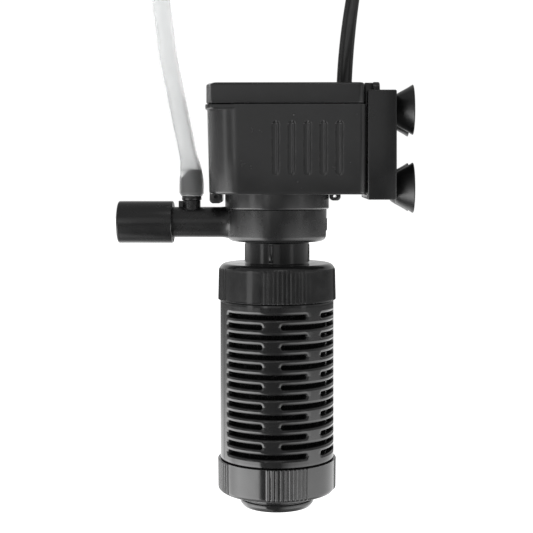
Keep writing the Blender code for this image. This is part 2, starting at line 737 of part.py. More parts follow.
def canister_body():
    body = turned("canister_body", BODY_PROFILE, GLOSSY, steps=20)
    for word, slots, first, count in SLOT_ROWS:
        outlines = [
            ring_sector(15.5, 21.0, start + turn, end + turn)
            for start, end in slots
            for turn in (0, 180)
        ]
        z = SLOT_TOP - SLOT_PITCH * first
        cutter = prism("slots_" + word, outlines, z - SLOT_HEIGHT / 2, z + SLOT_HEIGHT / 2)
        rows = cutter.modifiers.new("Rows", "ARRAY")
        rows.count = count
        rows.use_relative_offset = False
        rows.use_constant_offset = True
        rows.constant_offset_displace = (0, 0, -2 * SLOT_PITCH * MM)
        cut(body, cutter)


def canister_bottom_cap():
    cap = turned("canister_bottom_cap", BOTTOM_CAP_PROFILE, GLOSSY)
    cut(cap, knurl("bottom_knurl", 9.6, CAP_RIM - 1.0))


canister_top_cap()
neck_strainer()
canister_body()
turned("sponge_cartridge", SPONGE_PROFILE, FOAM, steps=32)
ring("top_gasket", TUBE_BORE_R, SPIGOT_R, 76.4, 77.8, RUBBER)
ring("bottom_gasket", TUBE_BORE_R, SPIGOT_R, 8.5, SPIGOT_LOW - GAP, RUBBER)
canister_bottom_cap()
turned("base_plug", PLUG_PROFILE, GLOSSY)
ring("plug_seal", 10.0, 11.6, 8.5, 9.95, RUBBER)

# ---------------------------------------------------------------- bracket and suction cups
PLATE_X_MIN, PLATE_X_MAX = 36.4, 38.8
BRACKET_HALF_Y = 19.0
BRACKET_LOW, BRACKET_HIGH = 103.5, 139.2
CHANNEL_LOW = MOTOR_LOW - GAP
CHANNEL_HALF_Y = RAIL_HALF_Y + GAP
MOUTH_HALF_Y = RAIL_NECK_HALF_Y + GAP
CUP_Y = 9.5
CUP_HIGH, CUP_LOW = 133.1, 107.3
# Name, y and z of each cup's axis
CUPS = (
    ("upper_front", -CUP_Y, CUP_HIGH),
    ("upper_rear", CUP_Y, CUP_HIGH),
    ("lower_front", -CUP_Y, CUP_LOW),
    ("lower_rear", CUP_Y, CUP_LOW),
)
CUP_RIM_X = 45.2
CUP_RIM_R = 8.3
CUP_LIP_X = 44.75  # the inner end of the rim's straight edge
# Stem and head behind the cup: radius, x
STEM_PROFILE = [(2.2, 39.1), (2.2, 36.1), (3.3, 36.1), (3.3, 35.4), (2.6, 34.1), (0, 34.1)]


def suction_bracket():
    bracket = box(
        "suction_bracket", (29.6, -BRACKET_HALF_Y, BRACKET_LOW),
        (PLATE_X_MAX, BRACKET_HALF_Y, BRACKET_HIGH), HOUSING,
    )
    bevel(bracket, width=0.8, angle=50)
    cut(
        bracket,
        box("bracket_channel", (RAIL_X_MIN - GAP, -CHANNEL_HALF_Y, CHANNEL_LOW),
            (35.0, CHANNEL_HALF_Y, 150)),
        box("bracket_head_room", (33.8, -CHANNEL_HALF_Y, 100.0),
            (PLATE_X_MIN, CHANNEL_HALF_Y, 151)),
        box("bracket_mouth", (27.0, -MOUTH_HALF_Y, CHANNEL_LOW), (32.0, MOUTH_HALF_Y, 150)),
    )
    for i, (_, y, z) in enumerate(CUPS):
        cut(bracket, cylinder("stem_hole_%d" % i, 2.5, 34, 42, steps=20, axis="X", at=(0, y, z)))


def cup_profile():
    """From the hollow's centre out to the rim, over it and down the outside to the head."""
    hollow = [(7.3 * t, 42.0 + 3.2 * t ** 1.6) for t in (i / 3 for i in range(4))]
    rim = [(CUP_RIM_R, CUP_RIM_X), (CUP_RIM_R, CUP_LIP_X)]
    outside = [
        (CUP_RIM_R - 2.9 * t ** 0.75, CUP_LIP_X - 5.65 * t ** 1.25)
        for t in (i / 4 for i in range(1, 5))
    ]
    return hollow + rim + outside + STEM_PROFILE


suction_bracket()
for word, y, z in CUPS:
    turned("suction_cup_" + word, cup_profile(), RUBBER, steps=20, axis="X", at=(0, y, z))
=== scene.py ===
"""Looks of an internal power filter, standing upright with the foot's underside at z = 0.

From the foot up: slotted canister, impeller chamber, motor box and lid, cord and air tube.
The front faces -Y, the outlet points left (-X) and the bracket with its cups is at the right (+X).
Shapes are in millimetres; materials, floor, lights and camera are in metres.
"""

import math

import bmesh
import bpy
import numpy as np
from mathutils import Matrix, Vector


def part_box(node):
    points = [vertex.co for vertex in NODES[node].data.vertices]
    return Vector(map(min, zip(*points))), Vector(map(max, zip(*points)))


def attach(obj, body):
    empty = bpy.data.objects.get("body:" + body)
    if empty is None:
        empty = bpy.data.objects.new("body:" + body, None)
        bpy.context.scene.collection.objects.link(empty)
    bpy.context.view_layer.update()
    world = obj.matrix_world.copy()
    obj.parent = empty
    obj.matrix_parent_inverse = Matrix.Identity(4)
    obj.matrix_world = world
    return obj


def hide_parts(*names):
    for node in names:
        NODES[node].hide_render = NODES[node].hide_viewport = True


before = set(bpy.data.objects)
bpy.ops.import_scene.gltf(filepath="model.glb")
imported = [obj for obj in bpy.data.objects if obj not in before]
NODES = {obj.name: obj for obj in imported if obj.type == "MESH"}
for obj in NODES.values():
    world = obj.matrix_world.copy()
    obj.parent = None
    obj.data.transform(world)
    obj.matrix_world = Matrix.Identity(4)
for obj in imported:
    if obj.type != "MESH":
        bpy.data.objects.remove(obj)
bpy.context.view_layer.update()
MM = 0.001
WELD = 1e-7  # metres: vertices closer than this become one
FRONT, REAR = -1, 1  # signs along Y

VISUAL = bpy.data.collections.new("visual_filter")
bpy.context.scene.collection.children.link(VISUAL)


def box_mm(name):
    """The low and high corners of a CAD node's box."""
    return [[v * 1000 for v in corner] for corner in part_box(name)]


# ------------------------------------------------------------------ outlines
def fillet(corners, steps):
    """Rounds the corners (a, b, radius) of an outline; corners without a radius stay sharp."""
    out = []
    for i, (a, b, *radius) in enumerate(corners):
        if not radius:
            out.append((a, b))
            continue
        corner = np.array((a, b), float)
        back = np.array(corners[i - 1][:2], float) - corner
        ahead = np.array(corners[(i + 1) % len(corners)][:2], float) - corner
        back_length, ahead_length = np.linalg.norm(back), np.linalg.norm(ahead)
        back, ahead = back / back_length, ahead / ahead_length
        half = math.acos(back @ ahead) / 2
        # The rounding takes no more than about half of either side
        reach = min(radius[0] / math.tan(half), back_length * 0.49, ahead_length * 0.49)
        r = reach * math.tan(half)
        centre = corner + (back + ahead) / np.linalg.norm(back + ahead) * (r / math.sin(half))
        start, end = corner + back * reach - centre, corner + ahead * reach - centre
        first = math.atan2(start[1], start[0])
        sweep = (math.atan2(end[1], end[0]) - first + math.pi) % (2 * math.pi) - math.pi
        for k in range(steps + 1):
            angle = first + sweep * k / steps
            out.append((centre[0] + r * math.cos(angle), centre[1] + r * math.sin(angle)))
    return out


def arc(x, y, r, start, end, steps):
    angles = [math.radians(start + (end - start) * i / steps) for i in range(steps + 1)]
    return [(x + r * math.cos(a), y + r * math.sin(a)) for a in angles]


def rounded_box(x0, x1, y0, y1, left, right, steps):
    """A rectangle with one corner radius at its left end and one at its right."""
    return (
        arc(x0 + left, y0 + left, left, 180, 270, steps)
        + arc(x1 - right, y0 + right, right, 270, 360, steps)
        + arc(x1 - right, y1 - right, right, 0, 90, steps)
        + arc(x0 + left, y1 - left, left, 90, 180, steps)
    )


def obround(x, z, width, height, steps):
    r = width / 2
    upper = arc(x, z + height / 2 - r, r, 0, 180, steps)
    return upper + arc(x, z - height / 2 + r, r, 180, 360, steps)


def flat(outline, z):
    return [(x, y, z) for x, y in outline]


# ------------------------------------------------------------------ meshes
def smooth(obj, angle=35.0):
    obj.data.shade_smooth()
    obj.data.set_sharp_from_angle(angle=math.radians(angle))


def add_object(name, mesh, angle):
    obj = bpy.data.objects.new(name, mesh)
    VISUAL.objects.link(obj)
    smooth(obj, angle)
    return obj


def make_object(name, verts, faces, angle=35.0):
    mesh = bpy.data.meshes.new(name)
    mesh.from_pydata([tuple(v) for v in np.asarray(verts, float) * MM], [], faces)
    mesh.validate()
    bm = bmesh.new()
    bm.from_mesh(mesh)
    bmesh.ops.remove_doubles(bm, verts=bm.verts, dist=WELD)
    loose = [v for v in bm.verts if not v.link_faces]
    bmesh.ops.delete(bm, geom=loose, context="VERTS")
    bmesh.ops.recalc_face_normals(bm, faces=bm.faces)
    bm.to_mesh(mesh)
    bm.free()
    return add_object(name, mesh, angle)


# Turns that lay the lathe's axis along each direction
AXES = {
    "Z": np.eye(3),
    "X": np.array([[0, 0, 1], [0, 1, 0], [-1, 0, 0]], float),
    "-X": np.array([[0, 0, -1], [0, 1, 0], [1, 0, 0]], float),
}


def lathe(name, profile, steps, axis="Z", at=(0, 0, 0), angle=35.0, shape=None):
    """Turns a loop of (radius, height) about an axis, from the front towards the right.

    A profile that starts and ends on the axis is solid; shape(theta, r, z) may change the radius.
    """
    theta = np.arange(steps) * 2 * math.pi / steps
    verts, rows = [], []
    for r, z in profile:
        if r < 1e-6:
            rows.append([len(verts)])
            verts.append((0, 0, z))
            continue
        radii = np.full(steps, r) if shape is None else shape(theta, r, z)
        rows.append(list(range(len(verts), len(verts) + steps)))
        verts += [(q * math.sin(t), -q * math.cos(t), z) for t, q in zip(theta, radii)]
    faces = []
    for a, b in zip(rows, rows[1:] + rows[:1]):
        if len(a) == 1 and len(b) == 1:
            continue
        for i in range(steps):
            j = (i + 1) % steps
            if len(a) == 1:
                faces.append((a[0], b[i], b[j]))
            elif len(b) == 1:
                faces.append((a[i], b[0], a[j]))
            else:
                faces.append((a[i], b[i], b[j], a[j]))
    verts = np.array(verts, float) @ AXES[axis].T + np.array(at, float)
    return make_object(name, verts, faces, angle)


def cylinder(radius, high, low, steps, axis="Z", at=(0, 0, 0)):
    """A plain cutter."""
    profile = [(0, high), (radius, high), (radius, low), (0, low)]
    return lathe("cylinder_tool", profile, steps, axis, at)


def skin(name, rings, angle=35.0, closed=False):
    """A skin through rings of equal counts: capped at both ends, or closed into a loop."""
    count = len(rings[0])
    verts = np.concatenate([np.asarray(r, float) for r in rings])
    faces = []
    order = list(range(len(rings)))
    pairs = list(zip(order, order[1:]))
    if closed:
        pairs.append((order[-1], order[0]))
    for a, b in pairs:
        for i in range(count):
            j = (i + 1) % count
            faces.append((a * count + i, a * count + j, b * count + j, b * count + i))
    if not closed:
        last = order[-1] * count
        faces.append(tuple(reversed(range(count))))
        faces.append(tuple(range(last, last + count)))
    return make_object(name, verts, faces, angle)


def slab(name, low, high, radius=0.0, segments=3):
    """A box with rounded edges."""
    bm = bmesh.new()
    bmesh.ops.create_cube(bm, size=1)
    bmesh.ops.scale(bm, vec=[(b - a) * MM for a, b in zip(low, high)], verts=bm.verts)
    centre = [(a + b) / 2 * MM for a, b in zip(low, high)]
    bmesh.ops.translate(bm, vec=centre, verts=bm.verts)
    if radius > 0:
        bmesh.ops.bevel(
            bm, geom=list(bm.edges), offset=radius * MM, segments=segments,
            profile=0.5, affect="EDGES",
        )
    mesh = bpy.data.meshes.new(name)
    bm.to_mesh(mesh)
    bm.free()
    return add_object(name, mesh, 30)


def boolean(obj, tool, operation="DIFFERENCE", solver="EXACT"):
    """Applies a Boolean and removes the tool."""
    # Either solver can leave open edges: the other is tried next, and failing both obj stays as is
    for kind in (solver, "MANIFOLD" if solver == "EXACT" else "EXACT"):
        mod = obj.modifiers.new("cut", "BOOLEAN")
        mod.operation = operation
        mod.solver = kind
        mod.object = tool
        bpy.context.view_layer.update()
        depsgraph = bpy.context.evaluated_depsgraph_get()
        made = bpy.data.meshes.new_from_object(obj.evaluated_get(depsgraph))
        obj.modifiers.remove(mod)
        bm = bmesh.new()
        bm.from_mesh(made)
        bmesh.ops.remove_doubles(bm, verts=bm.verts, dist=WELD)
        sound = len(bm.faces) > 0 and all(len(e.link_faces) == 2 for e in bm.edges)
        if sound:
            bm.to_mesh(made)
        bm.free()
        if sound:
            old = obj.data
            obj.data = made
            bpy.data.meshes.remove(old)
            break
        bpy.data.meshes.remove(made)
    data = tool.data
    bpy.data.objects.remove(tool, do_unlink=True)
    bpy.data.meshes.remove(data)
    smooth(obj)


# ------------------------------------------------------------------ shader nodes
def fill(tree, target, inputs):
    """Links sockets to a node's inputs, and sets plain values."""
    for key, value in inputs.items():
        if isinstance(value, bpy.types.NodeSocket):
            tree.links.new(value, target.inputs[key])
        else:
            target.inputs[key].default_value = value


def node(tree, kind, inputs=None, **settings):
    made = tree.nodes.new("ShaderNode" + kind)
    for key, value in settings.items():
        setattr(made, key, value)
    fill(tree, made, inputs or {})
    return made


def calc(tree, operation, *values):
    return node(tree, "Math", dict(enumerate(values)), operation=operation).outputs[0]


def noise(tree, coords, scale, detail=3.0, rough=0.5, stretch=None):
    if stretch:
        mapping = node(tree, "Mapping", {"Scale": stretch, "Vector": coords})
        coords = mapping.outputs["Vector"]
    values = {"Scale": scale, "Detail": detail, "Roughness": rough, "Vector": coords}
    return node(tree, "TexNoise", values).outputs["Fac"]


def ramp(tree, value, stops):
    """A colour ramp with stops of (position, colour or grey level)."""
    made = node(tree, "ValToRGB", {"Fac": value})
    elements = made.color_ramp.elements
    while len(elements) < len(stops):
        elements.new(0.5)
    for element, (position, colour) in zip(elements, stops):
        element.position = position
        element.color = (*colour, 1) if isinstance(colour, tuple) else (colour,) * 3 + (1,)
    return made.outputs["Color"]


def spread(tree, value, low, high):
    """Stretches the middle of a noise over a range."""
    values = {"From Min": 0.3, "From Max": 0.7, "To Min": low, "To Max": high, "Value": value}
    return node(tree, "MapRange", values).outputs["Result"]


def mix_colour(tree, factor, a, b):
    values = {"Factor": factor, "A": a, "B": b}
    return node(tree, "Mix", values, data_type="RGBA").outputs["Result"]


def rounded_normal(tree, radius):
    return node(tree, "Bevel", {"Radius": radius}, samples=4).outputs["Normal"]


def bump_chain(tree, shader, layers, edge=None):
    """Bumps of (height, distance, strength), one over the other, on edges rounded in shading."""
    normal = rounded_normal(tree, edge) if edge else None
    for height, distance, strength in layers:
        bump = node(tree, "Bump", {"Distance": distance, "Strength": strength, "Height": height})
        if normal:
            fill(tree, bump, {"Normal": normal})
        normal = bump.outputs["Normal"]
    fill(tree, shader, {"Normal": normal})


# ------------------------------------------------------------------ materials
def base(name):
    mat = bpy.data.materials.new(name)
    mat.use_nodes = True
    tree = mat.node_tree
    coords = node(tree, "TexCoord").outputs["Object"]
    return mat, tree, tree.nodes["Principled BSDF"], coords


def tint(tree, colour, mask, gate, amount, grey):
    """Mixes a grey into the colour where both masks are light."""
    factor = calc(tree, "MULTIPLY", calc(tree, "MULTIPLY", mask, gate), amount)
    return mix_colour(tree, factor, colour, grey)


def add_specks(tree, coords, colour, amount):
    """Small light specks, gathered in patches."""
    cells = node(tree, "TexVoronoi", {"Scale": 330, "Vector": coords}).outputs["Distance"]
    spots = ramp(tree, cells, [(0.0, 1.0), (0.055, 0.0)])
    patches = ramp(tree, noise(tree, coords, scale=90, detail=2), [(0.60, 0.0), (0.66, 1.0)])
    return tint(tree, colour, spots, patches, amount, grey=(0.35, 0.35, 0.34, 1))


def add_wear(tree, coords, colour, amount):
    """Edges rubbed lighter, unevenly."""
    true_normal = node(tree, "NewGeometry").outputs["Normal"]
    normals = {0: rounded_normal(tree, radius=0.0006), 1: true_normal}
    dot = node(tree, "VectorMath", normals, operation="DOT_PRODUCT").outputs["Value"]
    edges = ramp(tree, dot, [(0.86, 1.0), (0.985, 0.0)])
    rub = ramp(tree, noise(tree, coords, scale=500, detail=3), [(0.4, 0.2), (0.65, 1.0)])
    return tint(tree, colour, edges, rub, amount, grey=(0.16, 0.16, 0.16, 1))


def plastic(
    name, dark, light, rough, grain, grain_scale=2600, flow=0.0,
    specks=0.0, scratches=0.0, edge=None, wear=0.0,
):
    """Moulded plastic: mottled tone, varied gloss and fine grain.

    grain and flow are bump depths, edge the radius of edges rounded in shading, and
    specks, scratches and wear are strengths.
    """
    mat, tree, shader, coords = base(name)
    mottle = noise(tree, coords, scale=55, detail=4, rough=0.6)
    colour = ramp(tree, mottle, [(0.3, dark), (0.7, light)])
    if specks > 0:
        colour = add_specks(tree, coords, colour, specks)
    if wear > 0:
        colour = add_wear(tree, coords, colour, wear)
    gloss_noise = noise(tree, coords, scale=140, detail=4, rough=0.65)
    gloss = spread(tree, gloss_noise, low=rough - 0.05, high=rough + 0.06)
    if scratches > 0:
        streaks = noise(tree, coords, scale=900, detail=2, stretch=(1.0, 1.0, 0.04))
        lines = ramp(tree, streaks, [(0.62, 0.0), (0.66, 1.0)])
        gloss = calc(tree, "MULTIPLY_ADD", lines, scratches, gloss)
    fill(tree, shader, {"Base Color": colour, "Roughness": gloss, "IOR": 1.5})
    layers = [(noise(tree, coords, scale=grain_scale, detail=2), grain, 0.6)]
    if flow > 0:
        layers.append((noise(tree, coords, scale=90, stretch=(1.0, 1.0, 0.25)), flow, 1.0))
    bump_chain(tree, shader, layers, edge)
    return mat


def bands(tree, coords, direction, scale, distortion=0.0):
    values = {"Scale": scale, "Distortion": distortion, "Vector": coords}
    made = node(tree, "TexWave", values, wave_type="BANDS", bands_direction=direction)
    return made.outputs["Fac"]


def enamelled_copper():
    mat, tree, shader, coords = base("enamelled_copper")
    turns = bands(tree, coords, "X", scale=560, distortion=0.6)
    # The colour is darker in the low grooves between the turns: painted shade
    colour = ramp(tree, turns, [(0.0, (0.22, 0.07, 0.02)), (0.6, (0.62, 0.24, 0.09))])
    fill(tree, shader, {"Base Color": colour, "Metallic": 0.9, "Roughness": 0.3})
    bump_chain(tree, shader, [(turns, 0.00012, 1.0)])
    return mat


def laminated_steel():
    mat, tree, shader, coords = base("laminated_steel")
    sheets = bands(tree, coords, "Z", scale=320)
    colour = ramp(tree, sheets, [(0.0, (0.1, 0.1, 0.1)), (0.4, (0.42, 0.42, 0.43))])
    rough = spread(tree, noise(tree, coords, scale=700), low=0.3, high=0.5)
    fill(tree, shader, {"Base Color": colour, "Metallic": 1.0, "Roughness": rough})
    bump_chain(tree, shader, [(sheets, 0.00008, 1.0)])
    return mat


def filter_foam():
    mat, tree, shader, coords = base("black_filter_foam")
    values = {"Scale": 1100, "Vector": coords}
    cells = node(tree, "TexVoronoi", values, feature="DISTANCE_TO_EDGE")
    walls = ramp(tree, cells.outputs["Distance"], [(0.0, 1.0), (0.12, 0.0)])
    # Darker in the pores and lighter on the cell walls: painted shade in the pores
    colour = ramp(tree, walls, [(0.0, (0.0035, 0.0035, 0.0035)), (1.0, (0.042, 0.042, 0.044))])
    fill(tree, shader, {"Base Color": colour, "Roughness": 0.85, "Specular IOR Level": 0.12})
    lumps = noise(tree, coords, scale=260, detail=4)
    bump_chain(tree, shader, [(walls, 0.0005, 1.0), (lumps, 0.0006, 0.8)])
    return mat


def milky_silicone():
    """Light passes through and scatters a little, with faint haze along the length."""
    mat, tree, shader, coords = base("milky_silicone")
    haze = noise(tree, coords, scale=160, detail=4, rough=0.6, stretch=(1.0, 1.0, 0.3))
    fill(tree, shader, {
        "Base Color": ramp(tree, haze, [(0.3, (0.86, 0.865, 0.865)), (0.7, (0.93, 0.935, 0.935))]),
        "Roughness": spread(tree, noise(tree, coords, scale=420), low=0.12, high=0.18),
        "Transmission Weight": 0.96,
        "IOR": 1.41,
    })
    fine = noise(tree, coords, scale=1200, detail=2)
    bump_chain(tree, shader, [(fine, 0.00002, 0.6), (haze, 0.00008, 0.8)])
    scatter = node(tree, "BsdfTranslucent", {"Color": (0.93, 0.935, 0.935, 1)})
    parts = {"Fac": 0.3, 1: shader.outputs["BSDF"], 2: scatter.outputs["BSDF"]}
    mixed = node(tree, "MixShader", parts).outputs["Shader"]
    fill(tree, tree.nodes["Material Output"], {"Surface": mixed})
    return mat


MATERIALS = {
    "motor": plastic(
        "motor_black_plastic", dark=(0.0160, 0.0160, 0.0162), light=(0.0200, 0.0200, 0.0203),
        rough=0.22, grain=0.000015, flow=0.00003, specks=0.2, edge=0.0002, wear=0.12),
    "satin": plastic(
        "satin_black_plastic", dark=(0.0085, 0.0085, 0.0087), light=(0.0112, 0.0112, 0.0114),
        rough=0.24, grain=0.000015, flow=0.00003, specks=0.22, edge=0.0002, wear=0.12),
    "chamber": plastic(
        "chamber_black_plastic", dark=(0.0095, 0.0095, 0.0097), light=(0.0130, 0.0130, 0.0132),
        rough=0.27, grain=0.000015, grain_scale=2500, flow=0.00004, specks=0.3, edge=0.0002,
        wear=0.15),
    "cap": plastic(
        "cap_black_plastic", dark=(0.0095, 0.0095, 0.0097), light=(0.0125, 0.0125, 0.0127),
        rough=0.15, grain=0.000008, grain_scale=2300, flow=0.00005, specks=0.15, scratches=0.04,
        edge=0.0002, wear=0.12),
    "gloss": plastic(
        "gloss_black_plastic", dark=(0.0115, 0.0115, 0.0117), light=(0.0150, 0.0150, 0.0152),
        rough=0.13, grain=0.000005, grain_scale=2200, flow=0.00004, specks=0.15, scratches=0.03,
        edge=0.00015, wear=0.1),
    "rubber": plastic(
        "black_rubber", dark=(0.010, 0.010, 0.010), light=(0.018, 0.018, 0.018),
        rough=0.6, grain=0.00004, grain_scale=1800, specks=0.3),
    "cup": plastic(
        "cup_black_vinyl", dark=(0.0035, 0.0035, 0.0037), light=(0.0060, 0.0060, 0.0062),
        rough=0.36, grain=0.000008, grain_scale=1500, flow=0.00003, specks=0.2, scratches=0.06),
    "jacket": plastic(
        "cord_black_vinyl", dark=(0.0035, 0.0035, 0.0035), light=(0.0055, 0.0055, 0.0055),
        rough=0.34, grain=0.00002, grain_scale=1700, flow=0.00003, specks=0.1),
    "resin": plastic(
        "black_cast_resin", dark=(0.006, 0.006, 0.006), light=(0.012, 0.012, 0.013),
        rough=0.18, grain=0.00002, grain_scale=300, flow=0.0001),
    "nylon": plastic(
        "natural_nylon", dark=(0.72, 0.7, 0.64), light=(0.8, 0.78, 0.72),
        rough=0.45, grain=0.00002, grain_scale=1500),
    "white": plastic(
        "white_impeller_plastic", dark=(0.74, 0.74, 0.72), light=(0.82, 0.82, 0.8),
        rough=0.4, grain=0.00002, grain_scale=1500),
    "ceramic": plastic(
        "white_ceramic", dark=(0.8, 0.79, 0.75), light=(0.86, 0.85, 0.82),
        rough=0.16, grain=0.000005, grain_scale=2500),
    "ferrite": plastic(
        "grey_ferrite", dark=(0.035, 0.035, 0.037), light=(0.06, 0.06, 0.062),
        rough=0.45, grain=0.00005, grain_scale=1600, specks=0.4),
    "copper": enamelled_copper(),
    "steel": laminated_steel(),
    "foam": filter_foam(),
    "silicone": milky_silicone(),
    "frosted": plastic(
        "frosted_silicone", dark=(0.3, 0.3, 0.3), light=(0.4, 0.4, 0.4),
        rough=0.5, grain=0.00001, grain_scale=1500),
    "lead_front": plastic(
        "brown_insulation", dark=(0.11, 0.025, 0.012), light=(0.16, 0.04, 0.02),
        rough=0.4, grain=0.00001),
    "lead_rear": plastic(
        "blue_insulation", dark=(0.012, 0.03, 0.14), light=(0.02, 0.05, 0.2),
        rough=0.4, grain=0.00001),
}


def coat(obj, material):
    obj.data.materials.clear()
    obj.data.materials.append(MATERIALS[material])
    for polygon in obj.data.polygons:
        polygon.material_index = 0


def finish(obj, body, material, node_name):
    """Gives a piece its material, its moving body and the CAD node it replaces."""
    coat(obj, material)
    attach(obj, body)
    if node_name:
        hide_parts(node_name)


def finish_motor(obj, node_name="motor_housing"):
    finish(obj, "motor", "motor", node_name)


# ------------------------------------------------------------------ motor box
lid_low, lid_high = box_mm("motor_lid")
LID_LEFT, LID_RIGHT = lid_low[0] + 0.45, lid_high[0] + 0.7
LID_LOW, LID_HIGH = lid_low[2], lid_high[2]
HALF_DEPTH = lid_high[1]  # from the middle to the lid's front or rear face
BOX_LEFT, BOX_RIGHT = box_mm("motor_housing")[0][0] + 0.2, 29.2
BOX_LOW, BOX_HIGH = 105.2, LID_LOW - 0.3
BOX_EDGE = 0.9  # radius of the lower edge
BOX_CORNERS = 11.0, 2.0  # left and right
BOX_DRAFT = 0.75, 0.1, 0.2  # how far the left, right and long faces draw in at the bottom


def box_drop(z):
    """0 at the top of the box, 1 at the bottom."""
    return (BOX_HIGH - z) / (BOX_HIGH - BOX_LOW)


def box_ring(z, inset=0.0):
    draft_left, draft_right, draft_depth = (d * box_drop(z) for d in BOX_DRAFT)
    left = BOX_LEFT + draft_left + inset
    right = BOX_RIGHT - draft_right - inset
    y = HALF_DEPTH - 0.04 - draft_depth - inset
    left_r, right_r = BOX_CORNERS
    right_r -= min(inset, right_r - 0.1)
    return flat(rounded_box(left, right, -y, y, left_r - inset, right_r, 22), z)


def build_housing():
    """An open box with a collar below it and the rotor well inside."""
    rings = []
    for a in np.linspace(0, math.pi / 2, 7):
        z = BOX_LOW + BOX_EDGE - BOX_EDGE * math.cos(a)
        rings.append(box_ring(z, BOX_EDGE - BOX_EDGE * math.sin(a)))
    # (height, inset) up the outside, over the rim and down the inside to the floor
    rings += [box_ring(z, inset) for z, inset in (
        (120.0, 0.0), (BOX_HIGH - 0.1, 0.0), (BOX_HIGH, 0.1), (BOX_HIGH, 1.6),
        (BOX_HIGH - 0.2, 1.8), (107.5, 1.8), (107.2, 2.1),
    )]
    housing = skin("motor_housing_shell", rings)
    collar = fillet([(0, 106.4), (17.6, 106.4), (17.6, 100.05, 0.6), (0, 100.05)], 7)
    boolean(housing, lathe("collar_tool", collar, 160), "UNION")
    well = fillet([(0, 130.5), (8.3, 130.5, 0.8), (8.3, 106.0), (0, 106.0)], 7 - 2)
    boolean(housing, lathe("well_tool", well, 64), "UNION")
    bore = [(0, 129.2), (3.5, 129.2), (3.5, 126.9), (6.9, 126.9), (6.9, 103.0), (0, 103.0)]
    boolean(housing, lathe("well_bore_tool", bore, 64))
    boolean(housing, cylinder(radius=16.4, high=104.6, low=99.0, steps=160))
    finish_motor(housing)
    return housing


def build_lip():
    """Lip under the lid: flush in the long faces, free where the round corner falls back."""

    def ring(z, inset):
        y = HALF_DEPTH - 0.09 - inset
        left, right = BOX_LEFT - 0.05 + inset, BOX_RIGHT - 0.4 - inset
        return flat(rounded_box(left, right, -y, y, 3.4 - inset, 1.6 - inset, 14), z)

    stations = (  # height, inset
        (132.72, 0.62), (132.76, 0.4), (132.9, 0.18), (133.1, 0.05), (133.35, 0.0), (134.2, 0.0),
        (134.42, 0.06), (134.56, 0.2), (134.6, 0.4), (134.6, 1.5), (132.72, 1.5),
    )
    finish_motor(skin("housing_lip", [ring(z, inset) for z, inset in stations], closed=True))


# ------------------------------------------------------------------ ribs on the long faces
RIB_COUNT, RIB_PITCH = 5, 5.15  # the first is at x = 0
RIB_Z, RIB_HALF, RIB_WIDE = 120.3, 8.95, 1.38  # centre, half height, half width
RIB_LOW, RIB_HIGH = RIB_Z - RIB_HALF, RIB_Z + RIB_HALF
RIB_FACE = HALF_DEPTH - 0.14
# A shallow channel with a ridge along it: (across, outwards)
RIB_SECTION = (
    (-1.38, 0.0), (-1.34, -0.2), (-1.26, -0.36), (-1.1, -0.38), (-0.8, -0.38), (-0.4, -0.39),
    (-0.1, -0.38), (0.08, -0.3), (0.2, -0.16), (0.32, -0.05), (0.46, 0.0), (0.62, 0.02),
    (0.8, -0.03), (0.92, -0.1), (1.05, -0.12), (1.18, -0.06), (1.3, -0.01), (1.38, 0.0),
)
RIB_HEIGHTS = (
    [RIB_LOW + 0.02 + 1.4 * k / 9 for k in range(9)]
    + list(np.linspace(RIB_LOW + 1.5, RIB_HIGH - 1.5, 12))
    + [RIB_HIGH - 0.02 - 1.4 * (8 - k) / 9 for k in range(9)]
)


def rib_ring(rib_x, z, side):
    """The section at a height, narrowed and flattened within the round ends."""
    over = max(0.0, abs(z - RIB_Z) - (RIB_HALF - RIB_WIDE))
    narrow = math.sqrt(1 - (over / RIB_WIDE) ** 2)
    deep = min(1.0, narrow * 1.15)
    draft = BOX_DRAFT[2] * box_drop(z) - 0.1
    face = side * RIB_FACE
    front = [(rib_x + x * narrow, face + side * (h * deep - draft), z) for x, h in RIB_SECTION]
    back = face - side * 0.7
    return front + [(rib_x + sign * RIB_WIDE * narrow, back, z) for sign in (1, -1)]


def build_pip(name, profile, x, y, z, side):
    """A small round button on a long face."""
    pip = lathe(name, profile, 16)
    turn = Matrix.Rotation(math.radians(-90 * side), 4, "X")
    pip.data.transform(Matrix.Translation((x * MM, y * MM, z * MM)) @ turn)
    finish_motor(pip, None)


def build_ribs(housing):
    for side, word in ((FRONT, "front"), (REAR, "rear")):
        for i in range(RIB_COUNT):
            x = RIB_PITCH * i
            face = side * RIB_FACE
            outline = obround(x, RIB_Z, 2 * RIB_WIDE - 0.08, 2 * RIB_HALF - 0.08, 10)
            rings = [[(px, face + side * h, pz) for px, pz in outline] for h in (-0.5, 0.6)]
            boolean(housing, skin("pocket_tool", rings), solver="MANIFOLD")
            rings = [rib_ring(x, z, side) for z in RIB_HEIGHTS]
            finish_motor(skin("rib_%s_%d" % (word, i + 1), rings, angle=45))
            for k, (dx, size) in enumerate(((-1.08, 1.05), (0.34, 1.35))):
                profile = [
                    (0, 0.26 * size), (0.14 * size, 0.24 * size), (0.25 * size, 0.17 * size),
                    (0.31 * size, 0.0), (0, 0.0),
                ]
                name = "rib_pip_%s_%d_%d" % (word, i + 1, k + 1)
                build_pip(name, profile, x + dx, face + side * 0.02, 128.35, side)


def build_gate_mark():
    profile = [(0, 0.2), (0.2, 0.18), (0.34, 0.1), (0.4, -0.1), (0, -0.1)]
    build_pip("gate_mark", profile, 5.9, -HALF_DEPTH + 0.1, 131.1, FRONT)


